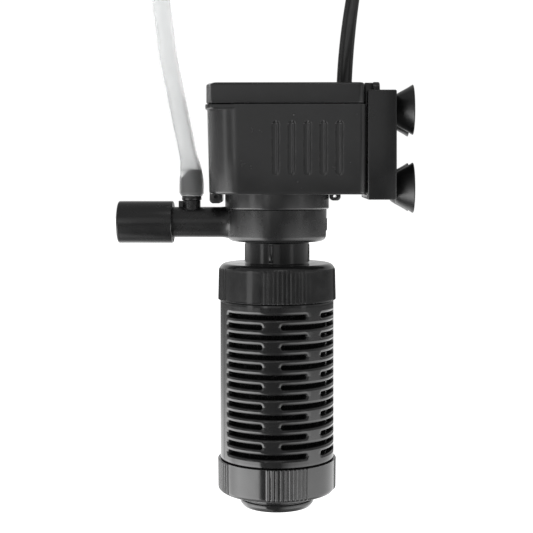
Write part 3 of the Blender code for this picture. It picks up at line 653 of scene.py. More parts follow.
# ------------------------------------------------------------------ lugs and rail
def build_lug(word, x0, x1, low, hole_x, hole_z, hole_r, hole_spans):
    """An eye hanging under the box, its hole cut along Y over each span."""
    middle = (x0 + x1) / 2
    outline = fillet([(x0, 106.4), (x0, low, 1.25), (x1, low, 1.25), (x1, 106.4)], 7)
    stations = (  # y, scale
        (-5.0, 0.86), (-4.92, 0.93), (-4.7, 0.98), (-4.4, 1.0),
        (4.4, 1.0), (4.7, 0.98), (4.92, 0.93), (5.0, 0.86),
    )
    rings = [
        [(middle + (x - middle) * g, y, low + (z - low) * g + (1 - g) * 1.5) for x, z in outline]
        for y, g in stations
    ]
    lug = skin("lug_" + word, rings)
    hole = [
        (hole_x + hole_r * 1.15 * math.cos(a), hole_z + hole_r * math.sin(a))
        for a in np.arange(20) * math.pi / 10
    ]
    for span in hole_spans:
        boolean(lug, skin("lug_hole", [[(x, y, z) for x, z in hole] for y in span]))
    finish_motor(lug)


def build_lugs():
    """The left eye is closed by a web half way through."""
    build_lug(
        "left", x0=-22.6, x1=-18.45, low=101.95, hole_x=-20.35, hole_z=104.2, hole_r=0.62,
        hole_spans=((-9.0, -2.2), (2.2, 9.0)),
    )
    build_lug(
        "right", x0=17.75, x1=21.45, low=102.9, hole_x=19.5, hole_z=104.35, hole_r=0.5,
        hole_spans=((-9.0, 9.0),),
    )


def build_rail():
    """T rail for the bracket."""
    finish_motor(slab("rail_neck", (28.9, -14.0, 105.5), (31.9, 14.0, 141.8), 0.4))
    stations = (  # x, inset
        (31.6, 0.35), (31.66, 0.15), (31.85, 0.0), (33.3, 0.0), (33.62, 0.12), (33.8, 0.45),
        (33.85, 0.8),
    )
    rings = []
    for x, g in stations:
        outline = rounded_box(-16.8 + g, 16.8 - g, 105.2 + g, 141.95 - g, 2.2 - g, 2.2 - g, 8)
        rings.append([(x, y, z) for y, z in outline])
    finish_motor(skin("rail_flange", rings))


# ------------------------------------------------------------------ lid, grommet and cord
LID_EDGE = 1.0  # radius of the top edge
LID_LEAN = 0.9  # how far the left end draws in over that edge
FACET_X, FACET_Y = 1.8, 4.1  # size of the slanting facets at the left corners


def lid_ring(z, inset, lean=0.0):
    """Slanting facets at the left corners, small rounds at the right."""
    y = HALF_DEPTH - inset
    x0, x1 = LID_LEFT + inset + lean, LID_RIGHT - inset
    right_r = 2.2 - min(inset, 1.8)
    corners = [
        (x0, -y + FACET_Y, 1.2), (x0 + FACET_X, -y, 0.5), (x1, -y, right_r),
        (x1, y, right_r), (x0 + FACET_X, y, 0.5), (x0, y - FACET_Y, 1.2),
    ]
    return flat(fillet(corners, 7), z)


def build_lid():
    """A hollow underside, a rounded top edge and an opening for the cord."""
    edge_low = LID_HIGH - LID_EDGE
    rings = [lid_ring(z, inset) for z, inset in (
        (139.6, 1.9), (LID_LOW, 1.8), (LID_LOW, 0.2), (LID_LOW + 0.15, 0.05),
        (LID_LOW + 0.5, 0.0), (edge_low - 0.4, 0.0),
    )]
    for a in np.linspace(0, math.pi / 2, 7):
        inset = LID_EDGE - LID_EDGE * math.cos(a)
        rings.append(lid_ring(edge_low + LID_EDGE * math.sin(a), inset, LID_LEAN * (1 - math.cos(a))))
    lid = skin("motor_lid_shell", rings)
    opening = rounded_box(18.8, 26.3, -2.6, 2.6, 1.6, 1.6, 8)
    boolean(lid, skin("cord_hole_tool", [flat(opening, z) for z in (138.0, 143.0)]))
    finish_motor(lid, "motor_lid")


def build_grommet():
    stations = (  # heights, then left, right, half depth and corner radius
        ((137.2, 137.25, 139.15), (18.2, 26.1, 3.38, 1.2)),
        ((139.2, 139.25, 140.9, 141.3), (19.1, 26.0, 2.3, 1.2)),
        ((141.5,), (19.4, 25.7, 2.0, 1.0)),
        ((141.4, 137.2), (19.85, 25.55, 1.58, 1.3)),
    )
    rings = [
        flat(rounded_box(left, right, -y, y, r, r, 8), z)
        for heights, (left, right, y, r) in stations
        for z in heights
    ]
    grommet = skin("cord_grommet_sleeve", rings, closed=True)
    finish(grommet, "motor", "rubber", "cord_grommet")


CORD_X, CORD_FREE_Z = 22.75, 141.0  # the cord is straight up to this height
CORE_OFFSET, CORE_R = 1.27, 1.33  # of each of the cord's two cores
LINE_END = box_mm("power_cord")[1][2] - 0.05  # where the cord and air tube are cut off


def build_cord():
    """A flat two-core cord that leans right and twists as it rises."""
    section = []
    for x, start in ((CORE_OFFSET, -121.0), (-CORE_OFFSET, 59.0)):
        section += arc(x, 0, CORE_R, start, start + 242.0, 18)
    rings = []
    for z in list(np.linspace(137.3, CORD_FREE_Z, 6)) + list(np.linspace(141.6, LINE_END, 64)):
        t = max(0.0, (z - CORD_FREE_Z) / 30.0)
        x = CORD_X + 1.1 * t + 1.8 * t * t
        y = 0.12 * math.sin(t * 5.0)
        twist = math.radians(40.0 * min(1.15, t))
        c, s = math.cos(twist), math.sin(twist)
        # The slope of x tilts the free rings; the last ones stay level
        slope = (1.1 + 3.6 * t) / 30.0 if CORD_FREE_Z < z < LINE_END - 0.5 else 0.0
        ring = []
        for u, v in section:
            across = u * c - v * s
            ring.append((x + across, y + u * s + v * c, z - across * slope))
        rings.append(ring)
    finish(skin("power_cord_flex", rings, angle=40), "motor", "jacket", "power_cord")


# ------------------------------------------------------------------ impeller chamber
PIPE_Z, PIPE_R = 95.5, 5.15
PIPE = {"axis": "-X", "at": (0, 0, PIPE_Z)}  # the outlet's place, pointing left
AIR_X = -29.0
AIR_AT = (AIR_X, 0, 0)
HUB_ARMS = 3


def pipe_profile():
    """The outlet pipe with a flared root: (radius, distance to the left)."""
    tip = fillet([(0, 46.0), (PIPE_R, 46.0, 0.4), (PIPE_R, 19.5)], 6)
    root = [
        (PIPE_R + 1.5 * (1 - math.sin(a)), 14.9 + 4.4 * (1 - math.cos(a)))
        for a in (math.radians(q) for q in (90, 75, 60, 45, 30, 15, 0))
    ]
    return tip + root + [(0, 14.9)]


def build_chamber():
    """The impeller's room with the intake below, outlet pipe at the left and air boss on it."""
    profile = fillet([
        (0, 102.6), (16.0, 102.6, 0.4), (16.0, 99.9), (16.85, 99.9, 0.1), (16.6, 89.2, 1.9),
        (8.8, 89.2, 0.3), (8.8, 80.3, 0.5), (0, 80.3),
    ], 9)
    chamber = lathe("pump_chamber_shell", profile, 160)

    def add(tool):
        boolean(chamber, tool, "UNION", "MANIFOLD")

    def cut(tool):
        boolean(chamber, tool, solver="MANIFOLD")

    add(lathe("pipe_tool", pipe_profile(), 96, **PIPE))
    boss = fillet([(0, 103.0), (3.0, 103.0, 0.25), (3.0, 101.0), (3.1, 95.0), (0, 95.0)], 5)
    add(lathe("boss_tool", boss, 64, at=AIR_AT))
    add(slab("fin_tool", (-33.4, -0.75, 97.5), (AIR_X, 0.75, 102.7), 0.2, 2))
    add(slab("stop_tool", (15.6, -1.3, 92.6), (17.0, 1.3, 97.0), 0.45, 4))
    cut(cylinder(radius=14.4, high=105, low=91.8, steps=96))  # impeller room
    cut(cylinder(radius=7.4, high=95, low=78, steps=96))  # intake
    cut(cylinder(radius=3.6, high=50, low=12, steps=64, **PIPE))  # outlet bore
    cut(cylinder(radius=2.2, high=106, low=96.4, steps=48, at=AIR_AT))  # nipple bore
    hub = fillet([(0, 91.9), (3.4, 91.9, 0.3), (3.4, 86.3, 0.6), (0, 86.3)], 5)
    add(lathe("hub_tool", hub, 48))
    for i in range(HUB_ARMS):
        arm = slab("arm_tool", (2.6, -0.6, 87.0), (8.1, 0.6, 90.6), 0.2, 2)
        arm.data.transform(Matrix.Rotation(math.radians(360 / HUB_ARMS * i + 30), 4, "Z"))
        add(arm)
    cut(cylinder(radius=2.4, high=93, low=87.3, steps=32))  # seat in the hub
    finish(chamber, "chamber", "chamber", "pump_chamber_cover")


def build_nozzle():
    corners = [(5.3, 35.2, 0.35), (5.3, 53.9, 0.45), (7.12, 53.9, 0.6), (7.12, 35.2, 0.5)]
    nozzle = lathe("outlet_nozzle_sleeve", fillet(corners, 6), 128, **PIPE)
    finish(nozzle, "nozzle", "satin", "outlet_nozzle")


def build_nipple():
    profile = fillet([
        (1.0, 113.3, 0.1), (1.0, 99.8), (1.9, 99.8), (1.9, 102.95), (3.3, 102.95, 0.25),
        (3.3, 104.5, 0.3), (2.75, 104.62, 0.05), (2.75, 112.5, 0.3), (2.45, 113.3, 0.2),
    ], 5)
    nipple = lathe("air_nipple_barb", profile, 96, at=AIR_AT)
    # The tip slants down towards the left, from 0.9 mm left of the axis
    slant_low, slant_start, slant_slope = 0.1112, 0.0009, 1.2
    for v in nipple.data.vertices:
        if v.co.z > slant_low:
            beyond = max(0.0, -(v.co.x - AIR_X * MM) - slant_start)
            v.co.z -= beyond * slant_slope * min(1.0, (v.co.z - slant_low) / 0.001)
    finish(nipple, "chamber", "satin", "air_nipple")


# Air tube, stretched over the nipple and leaning left as it rises: x, z, outer and inner radius
TUBE_END = ((104.55, 3.25), (104.6, 3.45), (104.75, 3.7), (104.98, 3.92), (105.25, 4.07))  # z, outer
STRETCHED_R, STRETCHED_BORE = 4.15, 2.6
TUBE_PATH = np.array((
    (AIR_X, 105.6, STRETCHED_R, STRETCHED_BORE), (-29.05, 109.3, 4.12, STRETCHED_BORE),
    (-29.3, 113.4, 3.6, STRETCHED_BORE), (-30.2, 118.6, 3.0, 2.0), (-32.5, 129.5, 3.0, 2.0),
    (-34.7, 140.4, 3.0, 2.0), (-36.9, 151.3, 3.0, 2.0), (-38.2, 161.0, 3.0, 2.0),
    (-39.5, 171.0, 3.0, 2.0), (-40.2, LINE_END, 3.0, 2.0),
), float)


def catmull(points, t):
    """A point at t, from 0 to 1, of a smooth curve through the points."""
    n = len(points) - 1
    i = min(int(t * n), n - 1)
    f = t * n - i
    p0, p1, p2, p3 = points[max(i - 1, 0)], points[i], points[i + 1], points[min(i + 2, n)]
    square = (2 * p0 - 5 * p1 + 4 * p2 - p3) * f * f
    return 0.5 * (2 * p1 + (p2 - p0) * f + square + (3 * p1 - p0 - 3 * p2 + p3) * f ** 3)


def build_air_tube():
    samples = [np.array((AIR_X, z, r, STRETCHED_BORE)) for z, r in TUBE_END]
    samples += [catmull(TUBE_PATH, t) for t in np.linspace(0, 1, 104)]
    outer, inner = [], []
    for i, (x, z, outer_r, inner_r) in enumerate(samples):
        before, after = samples[max(i - 1, 0)], samples[min(i + 1, len(samples) - 1)]
        along = np.array([after[0] - before[0], 0, after[1] - before[1]])
        along /= np.linalg.norm(along)
        across = np.array([along[2], 0, -along[0]])
        rearward = np.array([0.0, 1.0, 0.0])
        centre = np.array([x, 0, z])
        circle = [
            math.cos(a) * across + math.sin(a) * rearward
            for a in np.arange(48) * 2 * math.pi / 48
        ]
        outer.append([centre + min(outer_r, STRETCHED_R) * p for p in circle])
        inner.append([centre + inner_r * p for p in circle])
    tube = skin("air_tube_hose", outer + inner[::-1], closed=True)
    finish(tube, "chamber", "silicone", "air_tube")


def build_tube_cut_end():
    """A frosted ring at the tube's lower end."""
    corners = [(2.72, 104.4, 0.05), (2.72, 104.62, 0.05), (3.72, 104.72, 0.1), (3.62, 104.42, 0.15)]
    cut_end = lathe("air_tube_cut_end", fillet(corners, 3), 64, at=AIR_AT)
    finish(cut_end, "chamber", "frosted", "air_tube")


# ------------------------------------------------------------------ canister caps
KNURL_STEP, KNURL_RIBS = 4.33, 10  # degrees between ribs, ribs in a group
KNURL_RECESS, KNURL_DEPTH = 0.22, 0.36  # wall between groups, and rib height from the recess
CAP_R = 19.85
CAP_STEPS = 900


def knurl_shape(centres, low, high, fade_low, fade_high):
    """Groups of upright half-round ribs, standing a little proud of the wall between them."""

    def shape(theta, r, z):
        if r < 18.9 or z < low - 0.01 or z > high + 0.01:
            return np.full(len(theta), r)
        fade = min(1.0, max(0.0, (z - low) / fade_low)) * min(1.0, max(0.0, (high - z) / fade_high))
        fade = fade * fade * (3 - 2 * fade)
        degrees = np.degrees(theta)
        cut = np.full(len(theta), KNURL_RECESS)
        half = KNURL_RIBS / 2 * KNURL_STEP
        for centre in centres:
            off = (degrees - centre + 180) % 360 - 180
            place = (off + half) / KNURL_STEP
            rib = np.clip(1 - ((place % 1.0 - 0.5) / 0.3) ** 2, 0.0, 1.0) ** 0.75
            cut = np.where(np.abs(off) < half, KNURL_RECESS - KNURL_DEPTH * rib, cut)
        return r - fade * cut

    return shape


def build_top_cap():
    """The top cap with its neck and a round shoulder."""
    shoulder, inner_r, top = 2.4, 17.2, 81.75
    centre_z = top - shoulder
    profile = fillet([
        (9.2, 76.2), (9.2, 88.9, 0.3), (10.85, 88.9, 0.35), (10.85, top, 0.35), (inner_r, top),
    ], 6)
    for k in range(1, 15):
        a = math.radians(6 * k)
        profile.append((inner_r + shoulder * math.sin(a), centre_z + shoulder * math.cos(a)))
    wall = np.linspace(centre_z, 69.85, 31)
    profile += [(inner_r + shoulder + 0.22 * (centre_z - z) / 9.6, z) for z in wall]
    profile += [
        (CAP_R, 69.7), (19.82, 69.57), (19.72, 69.5), (18.3, 69.5), (18.2, 69.6), (18.2, 79.2),
        (10.9, 79.2), (10.9, 76.2),
    ]
    centres = [8.75 + 90 * i for i in range(4)]
    knurl = knurl_shape(centres, low=69.55, high=80.6, fade_low=0.15, fade_high=1.1)
    cap = lathe("canister_top_cap_shell", profile, CAP_STEPS, shape=knurl, angle=40)
    finish(cap, "canister_head", "cap", "canister_top_cap")


def build_neck_ribs():
    """Four upright ribs round the neck, each twisted a little about its own middle."""
    pivot = Vector((0, -0.0108, 0))
    for i in range(4):
        proud = (11.4, 11.05)[i % 2]
        rib = slab("neck_rib_%d" % (i + 1), (-0.76, -proud, 82.3), (0.76, -10.0, 88.2), 0.3, 4)
        twist = Matrix.Rotation(math.radians(-6.0), 4, "Z")
        turn = Matrix.Rotation(math.radians(-9.5 + 90 * i), 4, "Z")
        rib.data.transform(turn @ Matrix.Translation(pivot) @ twist @ Matrix.Translation(-pivot))
        finish(rib, "canister_head", "gloss", "canister_top_cap")


def build_bottom_cap():
    profile = fillet([(18.2, 8.2), (18.2, 16.0, 0.15), (19.66, 16.0)], 3)
    profile += [(19.82, 15.95), (CAP_R, 15.82)]
    profile += [(CAP_R - 0.1 * (15.7 - z) / 9, z) for z in np.linspace(15.7, 6.6, 31)]
    profile += fillet([
        (19.74, 6.5), (19.72, 6.1, 0.9), (18.9, 5.1, 1.1), (12.8, 5.1, 0.3), (12.8, 6.3, 0.2),
        (10.0, 6.3, 0.3), (10.0, 8.2),
    ], 7)
    centres = (11.5, 101.5, 191.5, 285.0)
    knurl = knurl_shape(centres, low=5.3, high=15.93, fade_low=0.8, fade_high=0.12)
    cap = lathe("canister_bottom_cap_shell", profile, CAP_STEPS, shape=knurl, angle=40)
    finish(cap, "bottom_cap", "gloss", "canister_bottom_cap")


def build_base_plug():
    """The foot: a disc with a groove round it."""
    profile = fillet([
        (0, 11.4), (10.5, 11.4, 0.3), (10.5, 10.3, 0.1), (9.7, 10.3, 0.1), (9.7, 5.9, 0.1),
        (12.05, 5.9, 0.3), (12.05, 4.6, 0.1), (12.5, 4.55, 0.3), (12.5, 3.0, 0.25),
        (12.15, 2.8, 0.1), (12.15, 2.55, 0.1), (12.45, 2.35, 0.25), (12.45, 1.3, 0.6),
        (12.0, 0.6, 0.4), (11.5, 0.0, 0.4), (0, 0.0),
    ], 4)
    finish(lathe("base_plug_disc", profile, 144), "plug", "gloss", "base_plug")


# ------------------------------------------------------------------ slotted tube and foam
SLOT_H, SLOT_PITCH, SLOT_TOP, SLOT_ROWS = 1.5, 3.24, 65.15, 15
# Start and end, in degrees, of the slots on half a turn; rows alternate between the two kinds
SLOT_KINDS = (((-57.2, 31.8), (50.4, 85.0)), ((-57.2, -13.8), (4.9, 85.0)))
TUBE_R, TUBE_IN = 19.2, 16.9
# How a slot's edge falls away inwards: growth of its upper edge, of its lower edge, depth
LAYERS = (
    (0.92, 0.68, 0.0), (0.72, 0.52, 0.025), (0.52, 0.36, 0.08), (0.33, 0.21, 0.165),
    (0.16, 0.1, 0.28), (0.05, 0.03, 0.4), (0.0, 0.0, 0.55), (0.0, 0.0, TUBE_R - TUBE_IN),
)
SEAM = -64.3  # degrees, of the fine upright groove


def slots(kind):
    return [(a + turn, b + turn) for a, b in SLOT_KINDS[kind] for turn in (0.0, 180.0)]


def half_height(theta, kind, grow):
    """Half the slot's height at an angle, with round ends, the outline grown outwards."""
    half = SLOT_H / 2 + grow
    best = 0.0
    for start, end in slots(kind):
        first = math.radians(start) * TUBE_R + SLOT_H / 2
        last = math.radians(end) * TUBE_R - SLOT_H / 2
        for turn in (-360.0, 0.0, 360.0):
            along = math.radians(theta + turn) * TUBE_R
            if first <= along <= last:
                return half
            beyond = first - along if along < first else along - last
            if beyond < half:
                best = max(best, math.sqrt(half * half - beyond * beyond))
    return best if best > 1e-4 else 0.0


def tube_columns():
    """Angles of the grid's columns: every slot end at every layer, and evenly between."""
    marks = {round((SEAM + off) % 360.0, 5) for off in (-0.9, -0.45, 0.0, 0.45, 0.9)}
    slot_ends = [
        (end, sign) for kind in (0, 1) for a, b in slots(kind) for end, sign in ((a, 1), (b, -1))
    ]
    for end, sign in slot_ends:
        centre = math.radians(end) * TUBE_R + sign * SLOT_H / 2
        for *growths, _ in LAYERS[:-1]:
            for grow in growths:
                for q in (0.0, 22.0, 45.0, 70.0, 90.0):
                    x = centre - sign * (SLOT_H / 2 + grow) * math.cos(math.radians(q))
                    marks.add(round(math.degrees(x / TUBE_R) % 360.0, 5))
    marks = sorted(marks)
    kept = [marks[0]]
    for mark in marks[1:]:
        if mark - kept[-1] > 0.02:
            kept.append(mark)
    out = list(kept)
    for a, b in zip(kept, kept[1:] + [kept[0] + 360.0]):
        count = int((b - a) // 2.6)
        out += [(a + (b - a) * i / (count + 1)) % 360.0 for i in range(1, count + 1)]
    return sorted(out)


class TubeGrid:
    """The slotted tube's mesh, as rows of vertices over shared columns."""

    def __init__(self):
        self.columns = tube_columns()
        self.count = len(self.columns)
        self.verts, self.faces = [], []

    def put(self, theta, r, z):
        if r > 19.0:
            off_seam = abs((theta - SEAM + 180) % 360 - 180)
            r -= 0.14 * max(0.0, 1 - off_seam / 0.46)
        angle = math.radians(theta)
        self.verts.append((r * math.sin(angle), -r * math.cos(angle), z))
        return len(self.verts) - 1

    def row(self, r, z):
        return [self.put(theta, r, z) for theta in self.columns]

    def slot_edges(self, z, kind, layer, wanted):
        """The lower and upper edges of a row of slots; they meet where there is no slot."""
        up, down, depth = layer
        low, high = [], []
        for theta, use in zip(self.columns, wanted):
            if not use:
                low.append(None)
                high.append(None)
                continue
            above, below = half_height(theta, kind, up), half_height(theta, kind, down)
            middle = self.put(theta, TUBE_R - depth, z)
            high.append(self.put(theta, TUBE_R - depth, z + above) if above else middle)
            low.append(self.put(theta, TUBE_R - depth, z - below) if below else middle)
        return low, high

    def face(self, *corners):
        corners = tuple(dict.fromkeys(corners))
        if len(corners) > 2:
            self.faces.append(corners)

    def bands(self, *pairs):
        """Faces between each pair of rows."""
        for i in range(self.count):
            j = (i + 1) % self.count
            for a, b in pairs:
                self.face(a[i], a[j], b[j], b[i])

    def add_skin(self, rows, layer):
        """A wall skin between the slots; returns its plain rows and the slots' edges."""
        r = TUBE_R - layer[2]
        heights = [rows[0][0] - 1.62] + [z + 1.75 for z, _ in rows]
        lands = [self.row(r, z) for z in heights]
        edges = [self.slot_edges(z, kind, layer, [True] * self.count) for z, kind in rows]
        for (low, high), below, above in zip(edges, lands, lands[1:]):
            self.bands((below, low), (high, above))
        return lands, edges

    def add_slot_walls(self, z, kind, outer, inner):
        """The walls of a row of slots, from the outer skin's edges to the inner skin's."""
        n = self.count
        opened = [half_height(theta, kind, LAYERS[0][0]) > 0 for theta in self.columns]
        near = [opened[i] or opened[(i + 1) % n] or opened[i - 1] for i in range(n)]
        between = [self.slot_edges(z, kind, layer, near) for layer in LAYERS[1:-1]]
        layers = [outer] + between + [inner]
        for (low_a, high_a), (low_b, high_b) in zip(layers, layers[1:]):
            for i in range(n):
                j = (i + 1) % n
                closed = all(
                    low[m] == high[m]
                    for low, high in ((low_a, high_a), (low_b, high_b))
                    for m in (i, j)
                )
                if closed or not (opened[i] or opened[j]):
                    continue
                self.face(low_a[i], low_a[j], low_b[j], low_b[i])
                self.face(high_a[j], high_a[i], high_b[i], high_b[j])

    def add_end(self, outer_row, inner_row, z, sign):
        """A plain end: out to the spigot and back in."""
        tip = z + sign * 6.5
        previous = outer_row
        for r, height in fillet([
            (TUBE_R, z - sign * 1.0), (TUBE_R, z, 0.25), (17.9, z, 0.1), (17.9, tip, 0.2),
            (TUBE_IN, tip, 0.2), (TUBE_IN, z),
        ], 3):
            current = self.row(r, height)
            self.bands((previous, current))
            previous = current
        self.bands((previous, inner_row))


def build_slotted_tube():
    grid = TubeGrid()
    rows = [(SLOT_TOP - SLOT_PITCH * k, k % 2) for k in range(SLOT_ROWS)][::-1]
    outer_lands, outer_edges = grid.add_skin(rows, LAYERS[0])
    inner_lands, inner_edges = grid.add_skin(rows, LAYERS[-1])
    for (z, kind), outer, inner in zip(rows, outer_edges, inner_edges):
        grid.add_slot_walls(z, kind, outer, inner)
    for end, z, sign in ((0, 16.3, -1), (-1, 69.2, 1)):
        grid.add_end(outer_lands[end], inner_lands[end], z, sign)
    tube = make_object("canister_slotted_tube", grid.verts, grid.faces, 38)
    finish(tube, "canister_tube", "gloss", "canister_body")


def build_sponge():
    """Foam, a little ragged on the outside."""

    def ragged(theta, r, z):
        if r < 10:
            return np.full(len(theta), r)
        broad = 0.10 * np.sin(7 * theta + z * 0.9) * np.sin(3 * theta - z * 1.7)
        fine = 0.12 * np.sin(23 * theta + z * 3.1) * np.sin(11 * theta - z * 2.3)
        return r + broad + fine - 0.22

    profile = [(5.5, 12.0), (15.6, 12.0), (16.2, 12.3)]
    profile += [(16.5, z) for z in np.linspace(12.8, 74.8, 91)]
    profile += [(16.2, 75.3), (15.6, 75.6), (5.5, 75.6)]
    sponge = lathe("sponge_foam", profile, 128, shape=ragged, angle=60)
    finish(sponge, "canister_tube", "foam", "sponge_cartridge")


# ------------------------------------------------------------------ bracket and cups
CUPS = [
    (level + "_" + side, (0, y, z))
    for level, z in (("upper", 133.1), ("lower", 107.3))
    for side, y in (("front", -9.5), ("rear", 9.5))
]
# From the hollow's centre to the rim, over it, down the cone to the stem and its head: (radius, x)
CUP_PROFILE = (
    (0, 41.2), (1.5, 41.25), (3.0, 41.55), (4.4, 42.15), (5.6, 43.0), (6.6, 43.95), (7.3, 44.75),
    (7.7, 45.12),
    (7.95, 45.2), (8.15, 45.2), (8.27, 45.12), (8.3, 44.98), (8.22, 44.8),
    (7.75, 44.1), (7.1, 43.0), (6.45, 41.8), (5.85, 40.7), (5.35, 39.9), (5.0, 39.4),
    (4.75, 39.15), (4.4, 39.1),
    (2.3, 39.1), (2.2, 38.9), (2.2, 36.15), (3.2, 36.1), (3.3, 35.9), (3.25, 35.4), (2.9, 34.7),
    (2.4, 34.2), (1.5, 34.1), (0, 34.1),
)


def build_bracket():
    """A block hollowed for the rail's flange and the cups' heads, open at the left and top."""
    bracket = slab("suction_bracket_shell", (29.65, -19.0, 103.5), (39.15, 19.0, 139.2), 0.55, 4)
    for name, low, high in (
        ("channel_tool", (31.3, -17.1, 104.9), (35.0, 17.1, 150)),
        ("head_room_tool", (33.8, -17.1, 98.0), (36.4, 17.1, 151)),
        ("mouth_tool", (27.0, -14.3, 104.9), (32.0, 14.3, 152)),
    ):
        boolean(bracket, slab(name, low, high))
    for _, at in CUPS:
        boolean(bracket, cylinder(radius=2.5, high=42, low=34, steps=32, axis="X", at=at))
    finish(bracket, "bracket", "satin", "suction_bracket")


def build_cups():
    for word, at in CUPS:
        name = "suction_cup_" + word
        cup = lathe(name + "_soft", CUP_PROFILE, 96, axis="X", at=at, angle=50)
        finish(cup, "cup_" + word, "cup", name)


# ------------------------------------------------------------------ all pieces
# CAD nodes that stay, each in its own finish
KEPT = {
    "potting_resin": "resin", "stator_core": "steel",
    "coil_bobbin_front": "nylon", "coil_bobbin_rear": "nylon",
    "coil_winding_front": "copper", "coil_winding_rear": "copper",
    "lead_wire_front": "lead_front", "lead_wire_rear": "lead_rear",
    "rotor_shaft": "ceramic", "upper_bush": "rubber", "lower_bush": "rubber",
    "rotor_magnet": "ferrite", "impeller": "white", "chamber_gasket": "rubber",
    "neck_strainer": "satin", "top_gasket": "rubber", "bottom_gasket": "rubber",
    "plug_seal": "rubber",
}


def keep(name, material):
    obj = NODES[name]
    coat(obj, material)
    weld = obj.modifiers.new("weld", "WELD")
    weld.merge_threshold = 0.000002
    smooth(obj, 30)


motor_housing = build_housing()
build_lip()
build_ribs(motor_housing)
build_gate_mark()
build_lugs()
build_rail()
build_lid()
build_grommet()
build_cord()
build_chamber()
build_nozzle()
build_nipple()
build_air_tube()
build_tube_cut_end()
build_top_cap()
build_neck_ribs()
build_slotted_tube()
build_sponge()
build_bottom_cap()
build_base_plug()
build_bracket()
build_cups()
for kept_name, kept_material in KEPT.items():
    keep(kept_name, kept_material)

# ------------------------------------------------------------------ floor and world
scene = bpy.context.scene


def around(tree, direction, levels, top):
    """Light level by direction, as a part of top.

    Levels are (degrees, level): 0 towards the camera, 90 to the right, 180 behind.
    """
    backward = calc(tree, "MULTIPLY", direction.outputs["Y"], -1.0)
    angle = calc(tree, "ARCTAN2", direction.outputs["X"], backward)
    turn = calc(tree, "MULTIPLY_ADD", angle, 1 / (2 * math.pi), 0.5)
    return ramp(tree, turn, [((degrees + 180) / 360, level / top) for degrees, level in levels])


FLOOR_SIDE, FLOOR_Z = 3.0, -0.0198  # half its width, and its height
FLOOR_TOP = 6.0
FLOOR_LEVELS = (
    (-180, 1.4), (-135, 2.2), (-112, 4.4), (-100, 3.6), (-80, 6.0), (-60, 6.0), (-36, 5.4),
    (-31, 0.3), (8, 0.2), (32, 2.4), (70, 3.4), (110, 2.2), (180, 1.4),
)
# Floor level by how steeply the ray goes down
FLOOR_STEEPNESS = (
    (0.0, 0.05), (0.06, 0.07), (0.12, 0.13), (0.17, 0.4), (0.21, 0.8), (0.26, 1.0), (0.6, 1.0),
    (0.8, 0.35), (1.0, 0.12),
)
WORLD_TOP = 2.0
WORLD_LEVELS = (
    (-180, 0.92), (-140, 0.92), (-114, 0.88), (-100, 0.5), (-75, 0.32), (-50, 0.32), (-30, 0.26),
    (-12, 0.18), (30, 0.18), (55, 0.4), (75, 0.38), (95, 0.5), (130, 0.68), (180, 0.7),
)


def floor_material():
    """Pale to the camera; as a light source, bright at both sides and dark at the front."""
    mat = bpy.data.materials.new("pale_floor")
    mat.use_nodes = True
    tree = mat.node_tree
    shader = tree.nodes["Principled BSDF"]
    fill(tree, shader, {
        "Base Color": (0.93, 0.93, 0.93, 1),
        "Roughness": 0.9,
        "Specular IOR Level": 0.1,
        "Emission Color": (1, 1, 1, 1),
        "Emission Strength": 0.92,
    })
    incoming = node(tree, "NewGeometry").outputs["Incoming"]
    ray = node(tree, "VectorMath", {0: incoming, "Scale": -1.0}, operation="SCALE")
    direction = node(tree, "SeparateXYZ", {0: ray.outputs[0]})
    level = around(tree, direction, FLOOR_LEVELS, FLOOR_TOP)
    steepness = ramp(tree, calc(tree, "MULTIPLY", direction.outputs["Z"], -1.0), FLOOR_STEEPNESS)
    strength = calc(tree, "MULTIPLY", calc(tree, "MULTIPLY", level, steepness), FLOOR_TOP)
    glow = node(tree, "Emission", {"Strength": strength})
    seen = node(tree, "LightPath").outputs["Is Camera Ray"]
    pick = node(tree, "MixShader", {"Fac": seen, 1: glow.outputs[0], 2: shader.outputs[0]})
    fill(tree, tree.nodes["Material Output"], {"Surface": pick.outputs[0]})
    return mat


def build_floor():
    corners = [(x * FLOOR_SIDE, y * FLOOR_SIDE, FLOOR_Z) for x, y in ((-1, -1), (1, -1), (1, 1), (-1, 1))]
    mesh = bpy.data.meshes.new("floor")
    mesh.from_pydata(corners, [], [(0, 1, 2, 3)])
    floor = bpy.data.objects.new("studio_floor", mesh)
    scene.collection.objects.link(floor)
    mesh.materials.append(floor_material())


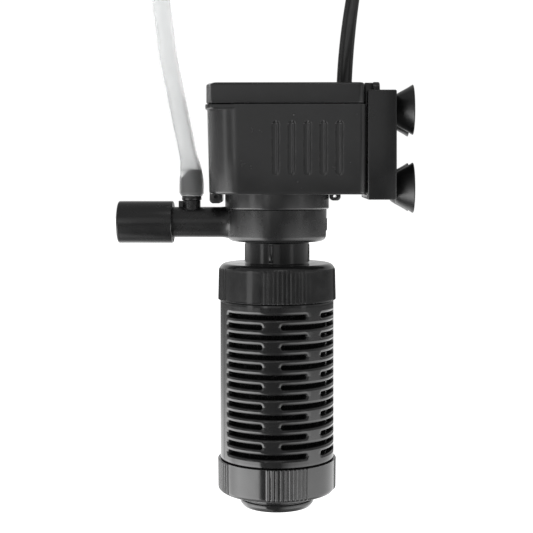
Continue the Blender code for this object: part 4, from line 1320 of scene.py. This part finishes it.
def build_world():
    """White to the camera; as a light source, darker at the camera's side and overhead."""
    world = bpy.data.worlds.new("studio")
    scene.world = world
    world.use_nodes = True
    tree = world.node_tree
    tree.nodes.clear()
    output = node(tree, "OutputWorld")
    direction = node(tree, "SeparateXYZ", {0: node(tree, "TexCoord").outputs["Generated"]})
    level = around(tree, direction, WORLD_LEVELS, WORLD_TOP)
    rise = {"From Min": 0.12, "From Max": 0.75, "Value": direction.outputs["Z"]}
    up = node(tree, "MapRange", rise, interpolation_type="SMOOTHSTEP").outputs["Result"]
    colour = mix_colour(tree, up, level, (0.2, 0.2, 0.2, 1))
    lit = node(tree, "Background", {"Color": colour, "Strength": WORLD_TOP})
    seen = node(tree, "Background", {"Color": (1, 1, 1, 1), "Strength": 1.02})
    path = node(tree, "LightPath").outputs
    direct = calc(tree, "MAXIMUM", path["Is Camera Ray"], path["Is Transmission Ray"])
    pick = node(tree, "MixShader", {"Fac": direct, 1: lit.outputs[0], 2: seen.outputs[0]})
    fill(tree, output, {"Surface": pick.outputs[0]})


# ------------------------------------------------------------------ lights and camera
def area(name, at, aim_z, size, radiance):
    """A soft panel turned to a point on the filter's axis."""
    data = bpy.data.lights.new(name, "AREA")
    data.shape = "RECTANGLE"
    data.size, data.size_y = size
    data.energy = radiance * math.pi * size[0] * size[1]
    light = bpy.data.objects.new(name, data)
    scene.collection.objects.link(light)
    light.location = at
    aim = Vector((0, 0, aim_z)) - Vector(at)
    light.rotation_euler = aim.to_track_quat("-Z", "Y").to_euler()


def build_camera(distance, height, azimuth):
    """A level camera; the shifts place the filter in the picture."""
    data = bpy.data.cameras.new("camera")
    data.sensor_width = 36.0
    data.lens = 81.73
    data.shift_y = -0.1773
    data.shift_x = -0.0197
    data.clip_start = 0.01
    camera = bpy.data.objects.new("camera", data)
    scene.collection.objects.link(camera)
    camera.location = (distance * math.sin(azimuth), -distance * math.cos(azimuth), height)
    camera.rotation_euler = (math.radians(90), 0, azimuth)
    scene.camera = camera


build_floor()
build_world()
area("strip_left", at=(-0.68, -0.49, 0.13), aim_z=0.11, size=(0.17, 0.36), radiance=1.35)
area("strip_mid", at=(-0.37, -0.93, 0.13), aim_z=0.1, size=(0.13, 0.36), radiance=1.25)
area("strip_right", at=(0.66, -0.46, 0.15), aim_z=0.11, size=(0.14, 0.36), radiance=0.6)
area("key_top", at=(0.1, -0.55, 0.8), aim_z=0.1, size=(0.22, 0.22), radiance=1.6)
area("front_fill", at=(-0.25, -1.3, 0.35), aim_z=0.1, size=(1.0, 0.7), radiance=0.4)
build_camera(distance=0.411, height=0.1125, azimuth=math.radians(1.0))
scene.view_settings.view_transform = "Standard"
scene.view_settings.look = "None"
